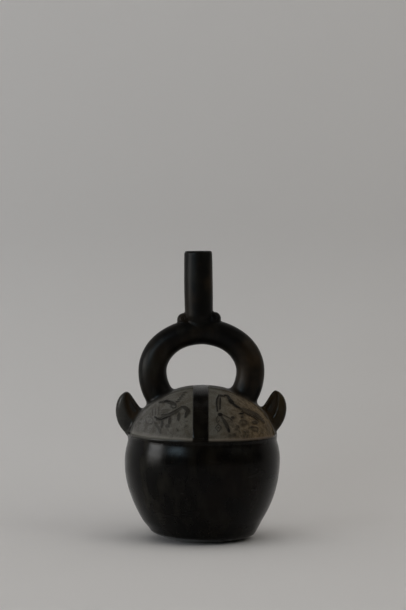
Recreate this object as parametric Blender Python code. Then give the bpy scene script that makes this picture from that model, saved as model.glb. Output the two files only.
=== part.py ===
"""Stirrup spout vessel of burnished blackware, fired in one piece.

A round hollow body rests on a slightly flattened underside. Above a sharp ridge its shoulder is a
dome with four press-moulded panels of sea birds, parted by plain bands. An ear-like lug stands on
each side. A hoop-shaped tube, the stirrup, rises from the crown and opens into the body at both
feet, and one straight spout rises from the top of the hoop, with a small creature's head on each
side of its root. The hollow runs unbroken from the lip down both arms of the hoop into the body.

Sizes are in metres, +Z is up, and the origin is the middle of the resting face.
"""
import math

import bmesh
import bpy
from mathutils import Matrix, Vector

# Body
BODY_RADIUS = 0.0621
BELLY_HEIGHT = 0.0630
RIDGE_RADIUS = 0.0598
RIDGE_HEIGHT = 0.0838
RIDGE_BEAD = 0.0030
CROWN_RISE = 0.0381
RESTING_RADIUS = 0.0210
BASE_EDGE_RADIUS = 0.0412
BASE_EDGE_HEIGHT = 0.0050
BASE_EDGE_SKEW = 0.0016
WALL = 0.0045
FLOOR_WALL = 0.0055

# Stirrup, a hoop in the XZ plane
STIRRUP_OFFSET = -0.0008
STIRRUP_HALF_SPAN = 0.0392
STIRRUP_LIFT = 0.0121
STIRRUP_RISE = 0.0316
STIRRUP_DROP = 0.0383
STIRRUP_RADIUS = 0.0114
STIRRUP_CROWN_RADIUS = 0.0103
STIRRUP_WALL = 0.0040
FOOT_SINK = 0.0100

# Spout
SPOUT_OFFSET = -0.0026
SPOUT_LEAN = 0.0007
SPOUT_LENGTH = 0.0541
SPOUT_RADIUS = 0.0112
SPOUT_BELLY = 0.0003
SPOUT_ROOT_RADIUS = 0.0089
SPOUT_BORE_RADIUS = 0.0074
LIP_ROUND = 0.0012

# Creature heads at the spout's root
HEAD_RADIUS = 0.0054
HEAD_SIDE_GAP = 0.0010
HEAD_SEAT = 0.0012
EYE_RADIUS = 0.0018
PELLET_RADIUS = 0.0007

# Lugs, ear shapes that face front and back and reach out past the ridge
LUG_REACH = 0.0087
LUG_RISE = 0.0341
LUG_WIDTH = 0.0160
LUG_THICKNESS = 0.0125
LUG_SCOOP = 0.0040
LUG_SKEW = 0.0010

# Moulded relief on the shoulder
BAND_LIFT = 0.0008
BAND_OFFSET = -0.0013
BAND_WIDTH = 0.0122
CROSS_BAND_HALF_WIDTH = 0.0128
RELIEF_LIFT = 0.0011
RELIEF_ROOT = 0.0012
BACK_RELIEF_LIFT = 0.0009

# How finely round shapes are faceted
BODY_SEGMENTS = 56
CAVITY_SEGMENTS = 30
TUBE_SEGMENTS = 20
BORE_SEGMENTS = 10
HOOP_STEPS = 23
SPOUT_SEGMENTS = 24

# Corners closer than this become one where forms join
SEAM_WELD = 0.00002

# Sizes that follow from the ones above
GROUND_RADIUS = RIDGE_RADIUS - BAND_LIFT
CROWN_HEIGHT = RIDGE_HEIGHT + CROWN_RISE
DOME_HALF_HEIGHT = 1.205 * CROWN_RISE
DOME_CENTRE = Vector((0, 0, CROWN_HEIGHT - DOME_HALF_HEIGHT))
HOOP_CENTRE = Vector((STIRRUP_OFFSET, 0, CROWN_HEIGHT + STIRRUP_LIFT))
HOOP_TOP = HOOP_CENTRE.z + STIRRUP_RISE
SPOUT_ROOT = Vector((STIRRUP_OFFSET + SPOUT_OFFSET + SPOUT_LEAN, 0, HOOP_TOP))
SPOUT_TOP = Vector((STIRRUP_OFFSET + SPOUT_OFFSET, 0, HOOP_TOP + STIRRUP_CROWN_RADIUS + SPOUT_LENGTH))


def clear_scene():
    """Start from nothing."""
    for item in list(bpy.data.objects):
        bpy.data.objects.remove(item, do_unlink=True)


def bezier_point(points, share):
    """The point that lies a share of the way along a Bezier curve of any order."""
    layer = [Vector(point) for point in points]
    while len(layer) > 1:
        layer = [first.lerp(second, share) for first, second in zip(layer, layer[1:])]
    return layer[0]


def bezier(points, steps):
    """Points along a Bezier curve, without its first point."""
    return [bezier_point(points, step / steps) for step in range(1, steps + 1)]


def smooth_route(points, steps):
    """Points of a smooth curve that passes through every given point."""
    given = [Vector(point) for point in points]
    if len(given) == 2:
        return [given[0].lerp(given[1], step / steps) for step in range(steps + 1)]
    padded = [2 * given[0] - given[1]] + given + [2 * given[-1] - given[-2]]
    route = [given[0]]
    for before, start, end, after in zip(padded, padded[1:], padded[2:], padded[3:]):
        handle_out = start + (end - before) / 6
        handle_in = end - (after - start) / 6
        route += bezier((start, handle_out, handle_in, end), steps)
    return route


def blackware():
    """Reduction-fired earthenware, burnished before firing until it shines softly."""
    material = bpy.data.materials.new("burnished_blackware")
    material.use_nodes = True
    shader = material.node_tree.nodes["Principled BSDF"]
    shader.inputs["Base Color"].default_value = (0.018, 0.016, 0.014, 1.0)
    shader.inputs["Roughness"].default_value = 0.34
    shader.inputs["Metallic"].default_value = 0.0
    return material


def add_object(name, form, smooth=True):
    """Close a bmesh into a mesh object whose faces point outwards."""
    bmesh.ops.recalc_face_normals(form, faces=form.faces[:])
    bmesh.ops.triangulate(form, faces=form.faces[:])
    mesh = bpy.data.meshes.new(name)
    form.to_mesh(mesh)
    form.free()
    if smooth:
        mesh.shade_smooth()
        mesh.set_sharp_from_angle(angle=math.radians(50))
    mesh.materials.append(bpy.data.materials["burnished_blackware"])
    item = bpy.data.objects.new(name, mesh)
    bpy.context.scene.collection.objects.link(item)
    return item


def round_turns(segments):
    """Angles round a circle that start half a facet on, so that no corner lies on a middle plane."""
    return [2 * math.pi * (index + 0.5) / segments for index in range(segments)]


def turned(name, profile, segments):
    """Turn a profile of (radius, height) points, from axis to axis, about the Z axis."""
    form = bmesh.new()
    start = round_turns(segments)[0]
    points = [
        form.verts.new((radius * math.cos(start), radius * math.sin(start), height))
        for radius, height in profile
    ]
    for first, second in zip(points, points[1:]):
        form.edges.new((first, second))
    bmesh.ops.spin(
        form, geom=form.verts[:] + form.edges[:], cent=(0, 0, 0), axis=(0, 0, 1),
        angle=2 * math.pi, steps=segments, use_merge=True,
    )
    bmesh.ops.remove_doubles(form, verts=form.verts[:], dist=1e-6)
    return add_object(name, form)


def lofted(name, rings, closed=False):
    """A solid through a row of rings that all have the same number of points."""
    form = bmesh.new()
    loops = []
    for ring in rings:
        corners = [form.verts.new(point) for point in ring]
        loops.append(corners)
    pairs = list(zip(loops, loops[1:]))
    if closed:
        pairs.append((loops[-1], loops[0]))
    for near, far in pairs:
        for index in range(len(near)):
            following = (index + 1) % len(near)
            form.faces.new((near[index], near[following], far[following], far[index]))
    if not closed:
        form.faces.new(loops[0])
        form.faces.new(loops[-1])
    return add_object(name, form)


def ellipse_radius(height, radius, half_height):
    """Radius of the dome's ellipse at a height above its centre."""
    return radius * math.sqrt(max(0.0, 1 - (height / half_height) ** 2))


def body_profile():
    """Outside of the body, from the resting face round to the crown."""
    belly = (BODY_RADIUS, BELLY_HEIGHT)
    edge = (BASE_EDGE_RADIUS, BASE_EDGE_HEIGHT)
    underside = (0.5 * (RESTING_RADIUS + BASE_EDGE_RADIUS), 0.1 * BASE_EDGE_HEIGHT)
    wall_height = BELLY_HEIGHT - BASE_EDGE_HEIGHT
    flare = (
        BASE_EDGE_RADIUS + 0.58 * (BODY_RADIUS - BASE_EDGE_RADIUS),
        BASE_EDGE_HEIGHT + 0.30 * wall_height,
    )
    below_belly = (BODY_RADIUS, BELLY_HEIGHT - 0.40 * wall_height)
    neck = (RIDGE_RADIUS - 0.2 * RIDGE_BEAD, RIDGE_HEIGHT - RIDGE_BEAD)
    above_belly = (BODY_RADIUS, BELLY_HEIGHT + 0.5 * (neck[1] - BELLY_HEIGHT))
    below_neck = (neck[0] + 0.2 * RIDGE_BEAD, neck[1] - 0.25 * (neck[1] - BELLY_HEIGHT))
    profile = [Vector((0, 0)), Vector((RESTING_RADIUS, 0))]
    profile += bezier(((RESTING_RADIUS, 0), underside, edge), 2)
    profile += bezier((edge, flare, below_belly, belly), 7)
    profile += bezier((belly, above_belly, below_neck, neck), 3)
    profile += bezier((neck, (RIDGE_RADIUS + 0.3 * RIDGE_BEAD, RIDGE_HEIGHT), ridge_seat()), 3)
    return profile + dome_profile(GROUND_RADIUS, DOME_HALF_HEIGHT, ridge_seat()[1], 9)


def ridge_seat():
    """Where the panels' ground meets the inside of the ridge."""
    height = RIDGE_HEIGHT + 0.3 * RIDGE_BEAD
    return Vector((ellipse_radius(height - DOME_CENTRE.z, GROUND_RADIUS, DOME_HALF_HEIGHT), height))


def dome_profile(radius, half_height, from_height, steps):
    """The dome from a height up to the axis."""
    start = math.asin((from_height - DOME_CENTRE.z) / half_height)
    found = []
    for step in range(1, steps + 1):
        angle = start + (math.pi / 2 - start) * step / steps
        across = radius * math.cos(angle) if step < steps else 0.0
        found.append(Vector((across, DOME_CENTRE.z + half_height * math.sin(angle))))
    return found


def skew_underside(item):
    """The underside was pressed flat a little unevenly, so that its edge is lower at +X."""
    reach = 3 * BASE_EDGE_HEIGHT
    for corner in item.data.vertices:
        outward = corner.co.xy.length - RESTING_RADIUS
        if outward > 0 and corner.co.z < reach:
            share = min(1.0, outward / (BASE_EDGE_RADIUS - RESTING_RADIUS))
            share *= min(1.0, 2 * (1 - corner.co.z / reach))
            corner.co.z -= BASE_EDGE_SKEW * share * corner.co.x / BASE_EDGE_RADIUS


def body_shell():
    """Outside of the body and shoulder as one solid."""
    item = turned("stirrup_spout_vessel", body_profile(), BODY_SEGMENTS)
    skew_underside(item)
    return item


def chamber():
    """Hollow inside of the body, one wall thinner all round."""
    wall_height = BELLY_HEIGHT - BASE_EDGE_HEIGHT
    belly = (BODY_RADIUS - WALL, BELLY_HEIGHT)
    floor_edge = (BASE_EDGE_RADIUS - WALL, BASE_EDGE_HEIGHT + FLOOR_WALL)
    flare = (
        floor_edge[0] + 0.7 * (belly[0] - floor_edge[0]),
        floor_edge[1] + 0.25 * wall_height,
    )
    below_belly = (belly[0], BELLY_HEIGHT - 0.35 * wall_height)
    inner_radius = GROUND_RADIUS - WALL
    inner_half_height = DOME_HALF_HEIGHT - WALL
    seat = Vector((
        ellipse_radius(RIDGE_HEIGHT - DOME_CENTRE.z, inner_radius, inner_half_height),
        RIDGE_HEIGHT,
    ))
    profile = [Vector((0, FLOOR_WALL))]
    profile += bezier(((0, FLOOR_WALL), (0.7 * floor_edge[0], FLOOR_WALL), floor_edge), 3)
    profile += bezier((floor_edge, flare, below_belly, belly), 4)
    profile += bezier((belly, (belly[0], BELLY_HEIGHT + 0.5 * (RIDGE_HEIGHT - BELLY_HEIGHT)), seat), 2)
    profile += dome_profile(inner_radius, inner_half_height, RIDGE_HEIGHT, 5)
    return turned("chamber", profile, CAVITY_SEGMENTS)


def hoop_point(angle):
    """Middle of the stirrup's tube. Angle 0 is at +X, a quarter turn is the top."""
    rise = STIRRUP_RISE if math.sin(angle) > 0 else STIRRUP_DROP
    return HOOP_CENTRE + Vector((STIRRUP_HALF_SPAN * math.cos(angle), 0, rise * math.sin(angle)))


def hoop_direction(angle):
    """Which way the stirrup's tube runs at an angle."""
    rise = STIRRUP_RISE if math.sin(angle) > 0 else STIRRUP_DROP
    return Vector((-STIRRUP_HALF_SPAN * math.sin(angle), 0, rise * math.cos(angle))).normalized()


def foot_angle(sink):
    """Angle below the hoop's middle at which its tube has sunk this far under the dome."""
    angle = 0.0
    while angle < math.radians(75):
        middle = hoop_point(-angle) - DOME_CENTRE
        level = math.sqrt((middle.x / GROUND_RADIUS) ** 2 + (middle.z / DOME_HALF_HEIGHT) ** 2)
        if middle.length * (1 / level - 1) > sink:
            break
        angle += math.radians(0.5)
    return angle


def hoop_tube(name, feet_radius, crown_radius, sink, segments, steps):
    """The stirrup's tube, or its bore, from one foot over the top to the other."""
    low = foot_angle(sink)
    rings = []
    for step in range(steps + 1):
        angle = -low + (math.pi + 2 * low) * step / steps
        height_share = max(0.0, math.sin(angle)) ** 2
        radius = feet_radius + (crown_radius - feet_radius) * height_share
        middle = hoop_point(angle)
        outward = Vector((0, 1, 0)).cross(hoop_direction(angle))
        rings.append([
            middle + radius * (math.cos(turn) * outward + math.sin(turn) * Vector((0, 1, 0)))
            for turn in round_turns(segments)
        ])
    return lofted(name, rings)


def leaning_tube(name, profile, segments):
    """A tube along the spout's slightly leaning axis, from (radius, share of the way up) pairs."""
    axis = SPOUT_TOP - SPOUT_ROOT
    rings = []
    for radius, share in profile:
        middle = SPOUT_ROOT + share * axis
        rings.append([
            middle + radius * Vector((math.cos(turn), math.sin(turn), 0)) for turn in round_turns(segments)
        ])
    return lofted(name, rings)


def spout_wall():
    """Outside of the spout: drawn in at its root, faintly swollen, with a softly rounded lip."""
    height = (SPOUT_TOP - SPOUT_ROOT).length
    root_share = STIRRUP_CROWN_RADIUS / height
    drawn_in = SPOUT_RADIUS - SPOUT_ROOT_RADIUS
    profile = [
        (SPOUT_ROOT_RADIUS, -0.12 * root_share),
        (SPOUT_ROOT_RADIUS, 0.80 * root_share),
        (SPOUT_ROOT_RADIUS + 0.55 * drawn_in, 1.15 * root_share),
    ]
    for step in range(5):
        share = step / 5
        swelling = SPOUT_BELLY * math.sin(math.pi * share)
        profile.append((SPOUT_RADIUS + swelling, 1.60 * root_share + share * (1 - 1.75 * root_share)))
    profile.append((SPOUT_RADIUS, 1 - LIP_ROUND / height))
    profile.append((SPOUT_RADIUS - 0.3 * LIP_ROUND, 1 - 0.3 * LIP_ROUND / height))
    profile.append((SPOUT_RADIUS - LIP_ROUND, 1.0))
    return leaning_tube("spout", profile, SPOUT_SEGMENTS)


def spout_bore():
    """The hole down the spout, past the lip above and into the stirrup's bore below."""
    profile = [(SPOUT_BORE_RADIUS, -0.02), (SPOUT_BORE_RADIUS, 1.06)]
    return leaning_tube("spout_bore", profile, SPOUT_SEGMENTS - 4)


def lug_edges(side):
    """Outer and inner edge of a lug in the XZ plane, from its root to its tip."""
    reach = RIDGE_RADIUS + LUG_REACH - side * LUG_SKEW
    inside = reach - LUG_WIDTH
    top = RIDGE_HEIGHT + LUG_RISE + 0.5 * side * LUG_SKEW
    tip = (reach - 0.55 * LUG_WIDTH, top)
    root = (RIDGE_RADIUS - 0.0051 - 3.2 * side * LUG_SKEW, RIDGE_HEIGHT - 0.0030 - side * LUG_SKEW)
    outer_bulge = (reach + 0.0054 + 0.6 * side * LUG_SKEW, RIDGE_HEIGHT + (0.23 + 0.02 * side) * LUG_RISE)
    outer = (root, outer_bulge, (reach + 0.0019, top - 0.0020), tip)
    buried = (inside - 0.0110, RIDGE_HEIGHT + 0.45 * LUG_RISE)
    inner_hollow = (inside - 0.0007, RIDGE_HEIGHT + 0.58 * LUG_RISE)
    inner = (buried, inner_hollow, (inside + 0.0025, top), tip)
    return outer, inner


def lug(name, side):
    """An ear-like lug: thick at the rim, with a shallow scoop in its front face."""
    outer, inner = lug_edges(side)
    steps = 8
    around = 12
    rings = []
    for step in range(steps):
        share = math.sin(0.5 * math.pi * (step + 0.1) / steps)
        outer_point = bezier_point(outer, share)
        inner_point = bezier_point(inner, share)
        middle = 0.5 * (outer_point + inner_point)
        half = 0.5 * (outer_point - inner_point)
        thickness = 0.5 * LUG_THICKNESS * math.sqrt(1 - 0.80 * share ** 4)
        scoop = LUG_SCOOP * math.sin(math.pi * min(1.0, 0.22 + 0.80 * share)) ** 0.7
        ring = []
        for turn in round_turns(around):
            along = math.cos(turn)
            depth = thickness * math.sin(turn)
            if depth < 0:
                depth += scoop * (1 - along ** 2) ** 2
            point = middle + along * half
            ring.append(Vector((side * point.x, depth, point.y)))
        rings.append(ring)
    return lofted(name, rings)


def creature_head(name, side):
    """A small crouching creature's head beside the spout's root."""
    reach = SPOUT_RADIUS + HEAD_SIDE_GAP
    middle_x = SPOUT_ROOT.x + side * reach
    hoop_share = (middle_x - HOOP_CENTRE.x) / STIRRUP_HALF_SPAN
    tube_top = HOOP_CENTRE.z + STIRRUP_RISE * math.sqrt(1 - hoop_share ** 2) + STIRRUP_CROWN_RADIUS
    middle = Vector((middle_x, 0, tube_top + HEAD_SEAT))
    form = bmesh.new()
    bmesh.ops.create_uvsphere(form, u_segments=12, v_segments=7, radius=HEAD_RADIUS)
    bmesh.ops.rotate(form, matrix=Matrix.Rotation(round_turns(12)[0], 3, "Z"), verts=form.verts[:])
    bmesh.ops.scale(form, vec=(1, 1.15, 1), verts=form.verts[:])
    bmesh.ops.translate(form, vec=middle, verts=form.verts[:])
    add_part(add_object(name, form))
    for facing in (-1, 1):
        creature_eye(name, middle, side, facing)


def creature_eye(name, middle, side, facing):
    """A ring eye on the flank of a creature's head."""
    outward = Vector((0.15 * side, facing, 0.25)).normalized()
    seat = middle + 0.97 * HEAD_RADIUS * Vector((outward.x, 1.15 * outward.y, outward.z))
    turn = outward.to_track_quat("Z", "Y").to_matrix().to_4x4()
    form = bmesh.new()
    bmesh.ops.create_cone(
        form, cap_ends=True, segments=10, radius1=EYE_RADIUS, radius2=0.7 * EYE_RADIUS, depth=PELLET_RADIUS,
        matrix=Matrix.Translation(seat) @ turn,
    )
    label = "eye_front" if facing < 0 else "eye_back"
    add_part(add_object(name + "_" + label, form))


def settle(point, lift):
    """Move a point near the shoulder onto its surface, then outwards by the lift."""
    spread = point - DOME_CENTRE
    level = math.sqrt(
        (spread.x ** 2 + spread.y ** 2) / GROUND_RADIUS ** 2 + spread.z ** 2 / DOME_HALF_HEIGHT ** 2
    )
    spread /= level
    normal = Vector((
        spread.x / GROUND_RADIUS ** 2, spread.y / GROUND_RADIUS ** 2, spread.z / DOME_HALF_HEIGHT ** 2,
    )).normalized()
    return DOME_CENTRE + spread + lift * normal, normal


def on_shoulder(across, up):
    """Front point of the shoulder, given as shares of the ridge's radius and the crown's rise."""
    height = RIDGE_HEIGHT + up * CROWN_RISE - DOME_CENTRE.z
    radius = ellipse_radius(height, GROUND_RADIUS, DOME_HALF_HEIGHT)
    sideways = across * RIDGE_RADIUS
    depth = math.sqrt(max(0.0, radius ** 2 - sideways ** 2))
    return Vector((sideways, -depth, DOME_CENTRE.z + height))


def raised_strip(name, route, widths, lift, columns=2, closed=False, top_share=0.75):
    """A strip of clay raised on the shoulder along a route of points, with sloping sides."""
    rings = []
    last = len(route) - 1
    for index, point in enumerate(route):
        before = route[index - 1] if index > 0 or closed else route[0]
        after = route[(index + 1) % len(route)] if index < last or closed else route[last]
        normal = settle(point, 0)[1]
        sideways = normal.cross(after - before).normalized()
        half = 0.5 * widths[index]
        ring = [settle(point - half * sideways, -RELIEF_ROOT)[0]]
        for column in range(columns):
            place = top_share * (2 * column / (columns - 1) - 1)
            ring.append(settle(point + place * half * sideways, lift)[0])
        ring.append(settle(point + half * sideways, -RELIEF_ROOT)[0])
        rings.append(ring)
    return lofted(name, rings, closed)


def tapered_widths(count, width, taper):
    """Widths along a strip that narrows towards both ends."""
    widths = []
    for index in range(count):
        from_end = min(index, count - 1 - index) / max(1, 0.25 * (count - 1))
        widths.append(width * (1 - taper * (1 - min(1.0, from_end))))
    return widths


def stroke(name, points, width, lift, steps=2, taper=0.45):
    """A modelled stroke of a figure through a few points of the panel."""
    flat_route = smooth_route(points, steps)
    route = [on_shoulder(point.x, point.y) for point in flat_route]
    add_part(raised_strip(name, route, tapered_widths(len(route), width, taper), lift))


def ring_stroke(name, across, up, radius, width, lift, sides=8):
    """A modelled ring."""
    centre, normal = settle(on_shoulder(across, up), 0)
    sideways = normal.cross(Vector((0, 0, 1))).normalized()
    upwards = sideways.cross(normal)
    route = [
        settle(centre + radius * (math.cos(turn) * sideways + math.sin(turn) * upwards), 0)[0]
        for turn in round_turns(sides)
    ]
    add_part(raised_strip(name, route, [width] * sides, lift, closed=True))


def boss(name, across, up, radius, lift, stretch=1.0, sides=10):
    """A low rounded lump, such as an eye, a head or a fish."""
    centre, normal = settle(on_shoulder(across, up), 0)
    sideways = normal.cross(Vector((0, 0, 1))).normalized()
    upwards = sideways.cross(normal)
    rings = []
    for scale, height in ((1.0, -RELIEF_ROOT), (0.9, 0.6 * lift), (0.5, lift)):
        rings.append([
            settle(
                centre + scale * radius * (stretch * math.cos(turn) * sideways + math.sin(turn) * upwards),
                height,
            )[0]
            for turn in round_turns(sides)
        ])
    add_part(lofted(name, rings))


def hanging_feathers(name, roots, length, lean, width, lift):
    """A row of feathers, each hanging from its root."""
    for number, (across, up) in enumerate(roots):
        tip = (across + lean, up - length)
        stroke(name + "_" + str(number + 1), ((across, up), tip), width, lift, steps=2, taper=0.7)


def wing_bird(name, lift, plain):
    """Left panel: a sea bird with a long raised wing whose feathers hang like a fringe."""
    wing = ((-0.59, 0.38), (-0.50, 0.43), (-0.41, 0.52), (-0.33, 0.57), (-0.265, 0.64))
    stroke(name + "_wing", wing, 0.0034, lift)
    hook = ((-0.255, 0.635), (-0.215, 0.61), (-0.20, 0.55), (-0.235, 0.47))
    stroke(name + "_hooked_head", hook, 0.0034, lift)
    feathers = ((-0.315, 0.52), (-0.425, 0.465), (-0.515, 0.385))
    hanging_feathers(name + "_feather", feathers, 0.15, -0.005, 0.0024, lift)
    stroke(name + "_back", ((-0.57, 0.70), (-0.50, 0.73), (-0.42, 0.715), (-0.35, 0.67)), 0.0026, lift)
    boss(name + "_breast", -0.495, 0.585, 0.0030, lift, stretch=1.45)
    if plain:
        return
    stroke(name + "_tail", ((-0.59, 0.28), (-0.57, 0.20), (-0.545, 0.12)), 0.0022, lift)
    stroke(name + "_crest", ((-0.325, 0.76), (-0.30, 0.83), (-0.255, 0.90)), 0.0026, lift)
    ring_stroke(name + "_eye", -0.71, 0.37, 0.0026, 0.0014, lift)
    for number in range(3):
        across = -0.645 + 0.035 * number
        up = 0.575 + 0.02 * number
        stroke(name + "_barb_" + str(number + 1), ((across, up), (across, up - 0.13)), 0.0013, lift)


def fishing_bird(name, lift, plain):
    """Right panel: a long-necked bird whose long bill hangs down to a fish."""
    neck = ((0.265, 0.86), (0.325, 0.84), (0.365, 0.76), (0.43, 0.665), (0.50, 0.60))
    stroke(name + "_neck", neck, 0.0032, lift)
    back = ((0.505, 0.585), (0.60, 0.545), (0.71, 0.43), (0.81, 0.29))
    stroke(name + "_back", back, 0.0056, lift)
    boss(name + "_head", 0.235, 0.875, 0.0023, lift)
    upper_bill = ((0.205, 0.85), (0.185, 0.74), (0.182, 0.63), (0.192, 0.545))
    lower_bill = ((0.235, 0.80), (0.227, 0.72), (0.223, 0.60))
    stroke(name + "_upper_bill", upper_bill, 0.0016, lift)
    stroke(name + "_lower_bill", lower_bill, 0.0016, lift)
    boss(name + "_fish_head", 0.225, 0.50, 0.0015, lift)
    stroke(name + "_fish", ((0.245, 0.455), (0.30, 0.37), (0.335, 0.215)), 0.0026, lift)
    if plain:
        return
    ring_stroke(name + "_shell", 0.208, 0.29, 0.0024, 0.0013, lift, sides=4)
    stroke(name + "_wing", ((0.505, 0.495), (0.58, 0.455), (0.645, 0.37)), 0.0024, lift)
    stroke(name + "_thigh", ((0.545, 0.30), (0.65, 0.295), (0.675, 0.19)), 0.0026, lift)
    boss(name + "_spot_1", 0.395, 0.445, 0.0012, lift)
    boss(name + "_spot_2", 0.445, 0.27, 0.0013, lift)
    feathers = ((0.415, 0.20), (0.485, 0.185), (0.55, 0.165))
    hanging_feathers(name + "_feather", feathers, 0.10, 0.03, 0.0019, lift)


def cross_band():
    """The plain band over the crown from lug to lug, wide enough for the stirrup's feet."""
    rings_along = 14
    reach = 0.80 * RIDGE_RADIUS
    route = []
    for step in range(rings_along + 1):
        sideways = reach * math.sin(0.5 * math.pi * (2 * step / rings_along - 1))
        height = ellipse_radius(sideways, DOME_HALF_HEIGHT, GROUND_RADIUS)
        route.append(DOME_CENTRE + Vector((sideways, 0, height)))
    widths = [2 * CROSS_BAND_HALF_WIDTH] * len(route)
    return raised_strip("cross_band", route, widths, BAND_LIFT, columns=6, top_share=0.96)


def upright_band(name, facing):
    """The plain band up the middle of a face, from the ridge to the cross band."""
    route = []
    for step in range(8):
        point = on_shoulder(BAND_OFFSET / RIDGE_RADIUS, 0.01 + 0.955 * math.sin(0.5 * math.pi * step / 7))
        route.append(Vector((point.x, -facing * point.y, point.z)))
    widths = [BAND_WIDTH] * len(route)
    return raised_strip(name, route, widths, 0.9 * BAND_LIFT, columns=4, top_share=0.94)


def add_part(item):
    """Keep a solid as one that the body is joined with."""
    hide_as_tool(item, bpy.data.collections["joined_parts"])


def add_hollow(item):
    """Keep a solid as one that is cut out of the body."""
    hide_as_tool(item, bpy.data.collections["hollows"])


def hide_as_tool(item, collection):
    """Put a tool solid in its collection, drawn as wire and never rendered."""
    bpy.context.scene.collection.objects.unlink(item)
    collection.objects.link(item)
    item.hide_render = True
    item.display_type = "WIRE"


def turn_half_round(first_new):
    """Turn the tool solids from a number on by half a turn, to the vessel's back."""
    half_turn = Matrix.Rotation(math.pi, 4, "Z")
    for item in list(bpy.data.collections["joined_parts"].objects)[first_new:]:
        item.data.transform(half_turn)


def relief():
    """The figures: full in front, and the same mould's main forms, a little flatter, behind."""
    first_new = len(bpy.data.collections["joined_parts"].objects)
    wing_bird("back_wing_bird", BACK_RELIEF_LIFT, True)
    fishing_bird("back_fishing_bird", BACK_RELIEF_LIFT, True)
    turn_half_round(first_new)
    wing_bird("wing_bird", RELIEF_LIFT, False)
    fishing_bird("fishing_bird", RELIEF_LIFT, False)


def combine(item, operation, collection):
    """Join or cut the body with every solid of a collection."""
    modifier = item.modifiers.new(operation.lower(), "BOOLEAN")
    modifier.operation = operation
    modifier.solver = "EXACT"
    modifier.operand_type = "COLLECTION"
    modifier.collection = collection
    modifier.use_self = True


def build():
    """Make the vessel: every outer form joined, then the hollow cut out of it."""
    clear_scene()
    blackware()
    for name in ("joined_parts", "hollows"):
        bpy.context.scene.collection.children.link(bpy.data.collections.new(name))
    vessel = body_shell()
    add_part(cross_band())
    add_part(upright_band("front_band", -1))
    add_part(upright_band("back_band", 1))
    relief()
    add_part(hoop_tube("stirrup", STIRRUP_RADIUS, STIRRUP_CROWN_RADIUS, FOOT_SINK, TUBE_SEGMENTS, HOOP_STEPS))
    add_part(spout_wall())
    creature_head("left_creature", -1)
    creature_head("right_creature", 1)
    add_part(lug("left_lug", -1))
    add_part(lug("right_lug", 1))
    add_hollow(chamber())
    bore_feet = STIRRUP_RADIUS - STIRRUP_WALL
    bore_crown = STIRRUP_CROWN_RADIUS - STIRRUP_WALL
    add_hollow(hoop_tube("stirrup_bore", bore_feet, bore_crown, FOOT_SINK, BORE_SEGMENTS, HOOP_STEPS - 8))
    add_hollow(spout_bore())
    combine(vessel, "UNION", bpy.data.collections["joined_parts"])
    combine(vessel, "DIFFERENCE", bpy.data.collections["hollows"])
    seam_weld = vessel.modifiers.new("seam_weld", "WELD")
    seam_weld.merge_threshold = SEAM_WELD


build()
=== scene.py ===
"""Blackware stirrup spout vessel on a pale sweep of board, lit by a window on its left.

The vessel is one skin of fired clay. Its parts are modelled one by one, as a potter makes them, and
melted into one surface with soft joints. Then the moulded panels are raised on it and it is hollowed.
Sizes are in metres and repeat those of the solid that the skin stands for.
"""

import math

import bmesh
import bpy
import numpy as np
from mathutils import Matrix, Vector
from mathutils.bvhtree import BVHTree


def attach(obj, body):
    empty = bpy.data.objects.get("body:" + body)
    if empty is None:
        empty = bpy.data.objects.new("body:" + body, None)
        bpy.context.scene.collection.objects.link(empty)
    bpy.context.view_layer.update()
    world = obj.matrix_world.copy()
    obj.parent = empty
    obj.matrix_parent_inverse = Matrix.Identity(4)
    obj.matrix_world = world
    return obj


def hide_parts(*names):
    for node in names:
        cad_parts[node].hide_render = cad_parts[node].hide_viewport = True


NODE = "stirrup_spout_vessel"

# Body
BODY_RADIUS = 0.0621
BELLY_HEIGHT = 0.0630
RIDGE_RADIUS = 0.0598
RIDGE_HEIGHT = 0.0838
RIDGE_BEAD = 0.0030
RIDGE_TILT = 0.0008
CROWN_RISE = 0.0381
RESTING_RADIUS = 0.0210
BASE_EDGE_RADIUS = 0.0412
BASE_EDGE_HEIGHT = 0.0050
BASE_EDGE_SKEW = 0.0016
WALL = 0.0045
FLOOR_WALL = 0.0055
HAND_WAVER = 0.00015

# Stirrup
STIRRUP_OFFSET = -0.0008
STIRRUP_HALF_SPAN = 0.0392
STIRRUP_LIFT = 0.0121
STIRRUP_RISE = 0.0316
STIRRUP_DROP = 0.0383
STIRRUP_RADIUS = 0.0114
STIRRUP_CROWN_RADIUS = 0.0103
STIRRUP_WALL = 0.0040
FOOT_SINK = 0.0100

# Spout
SPOUT_OFFSET = -0.0026
SPOUT_LEAN = 0.0007
SPOUT_LENGTH = 0.0541
SPOUT_RADIUS = 0.0112
SPOUT_BELLY = 0.0003
SPOUT_ROOT_RADIUS = 0.0089
SPOUT_BORE_RADIUS = 0.0074
LIP_ROUND = 0.0012
SPOUT_SINK = 0.0012
TONGUE_BOTTOM = 0.0040
TONGUE_TOP = 0.0135

# Creature heads at the spout's root
HEAD_RADIUS = 0.0054
HEAD_SIDE_GAP = 0.0010
HEAD_SEAT = 0.0012
HEAD_DEPTH_SHARE = 1.15
EYE_RING = 0.0016
EYE_PELLET = 0.0006
PELLET_LIFT = 0.0006
RING_GROOVE = 0.0005
RING_LIFT = 0.0003
RING_LINE = 0.00035

# Lugs
LUG_REACH = 0.0087
LUG_RISE = 0.0341
LUG_WIDTH = 0.0160
LUG_THICKNESS = 0.0125
LUG_SCOOP = 0.0058
BOWL_SHIFT = 0.40
BOWL_HALF_WIDTH = 0.60
LUG_SKEW = 0.0010

# Moulded panels
BAND_LIFT = 0.0008
BAND_OFFSET = -0.0013
BAND_WIDTH = 0.0122
CROSS_BAND_HALF_WIDTH = 0.0128
RELIEF_LIFT = 0.0011
BACK_RELIEF_LIFT = 0.0009
SLOPE_WIDTH = 0.0011
STRONGEST_LINE = 1.35

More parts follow.
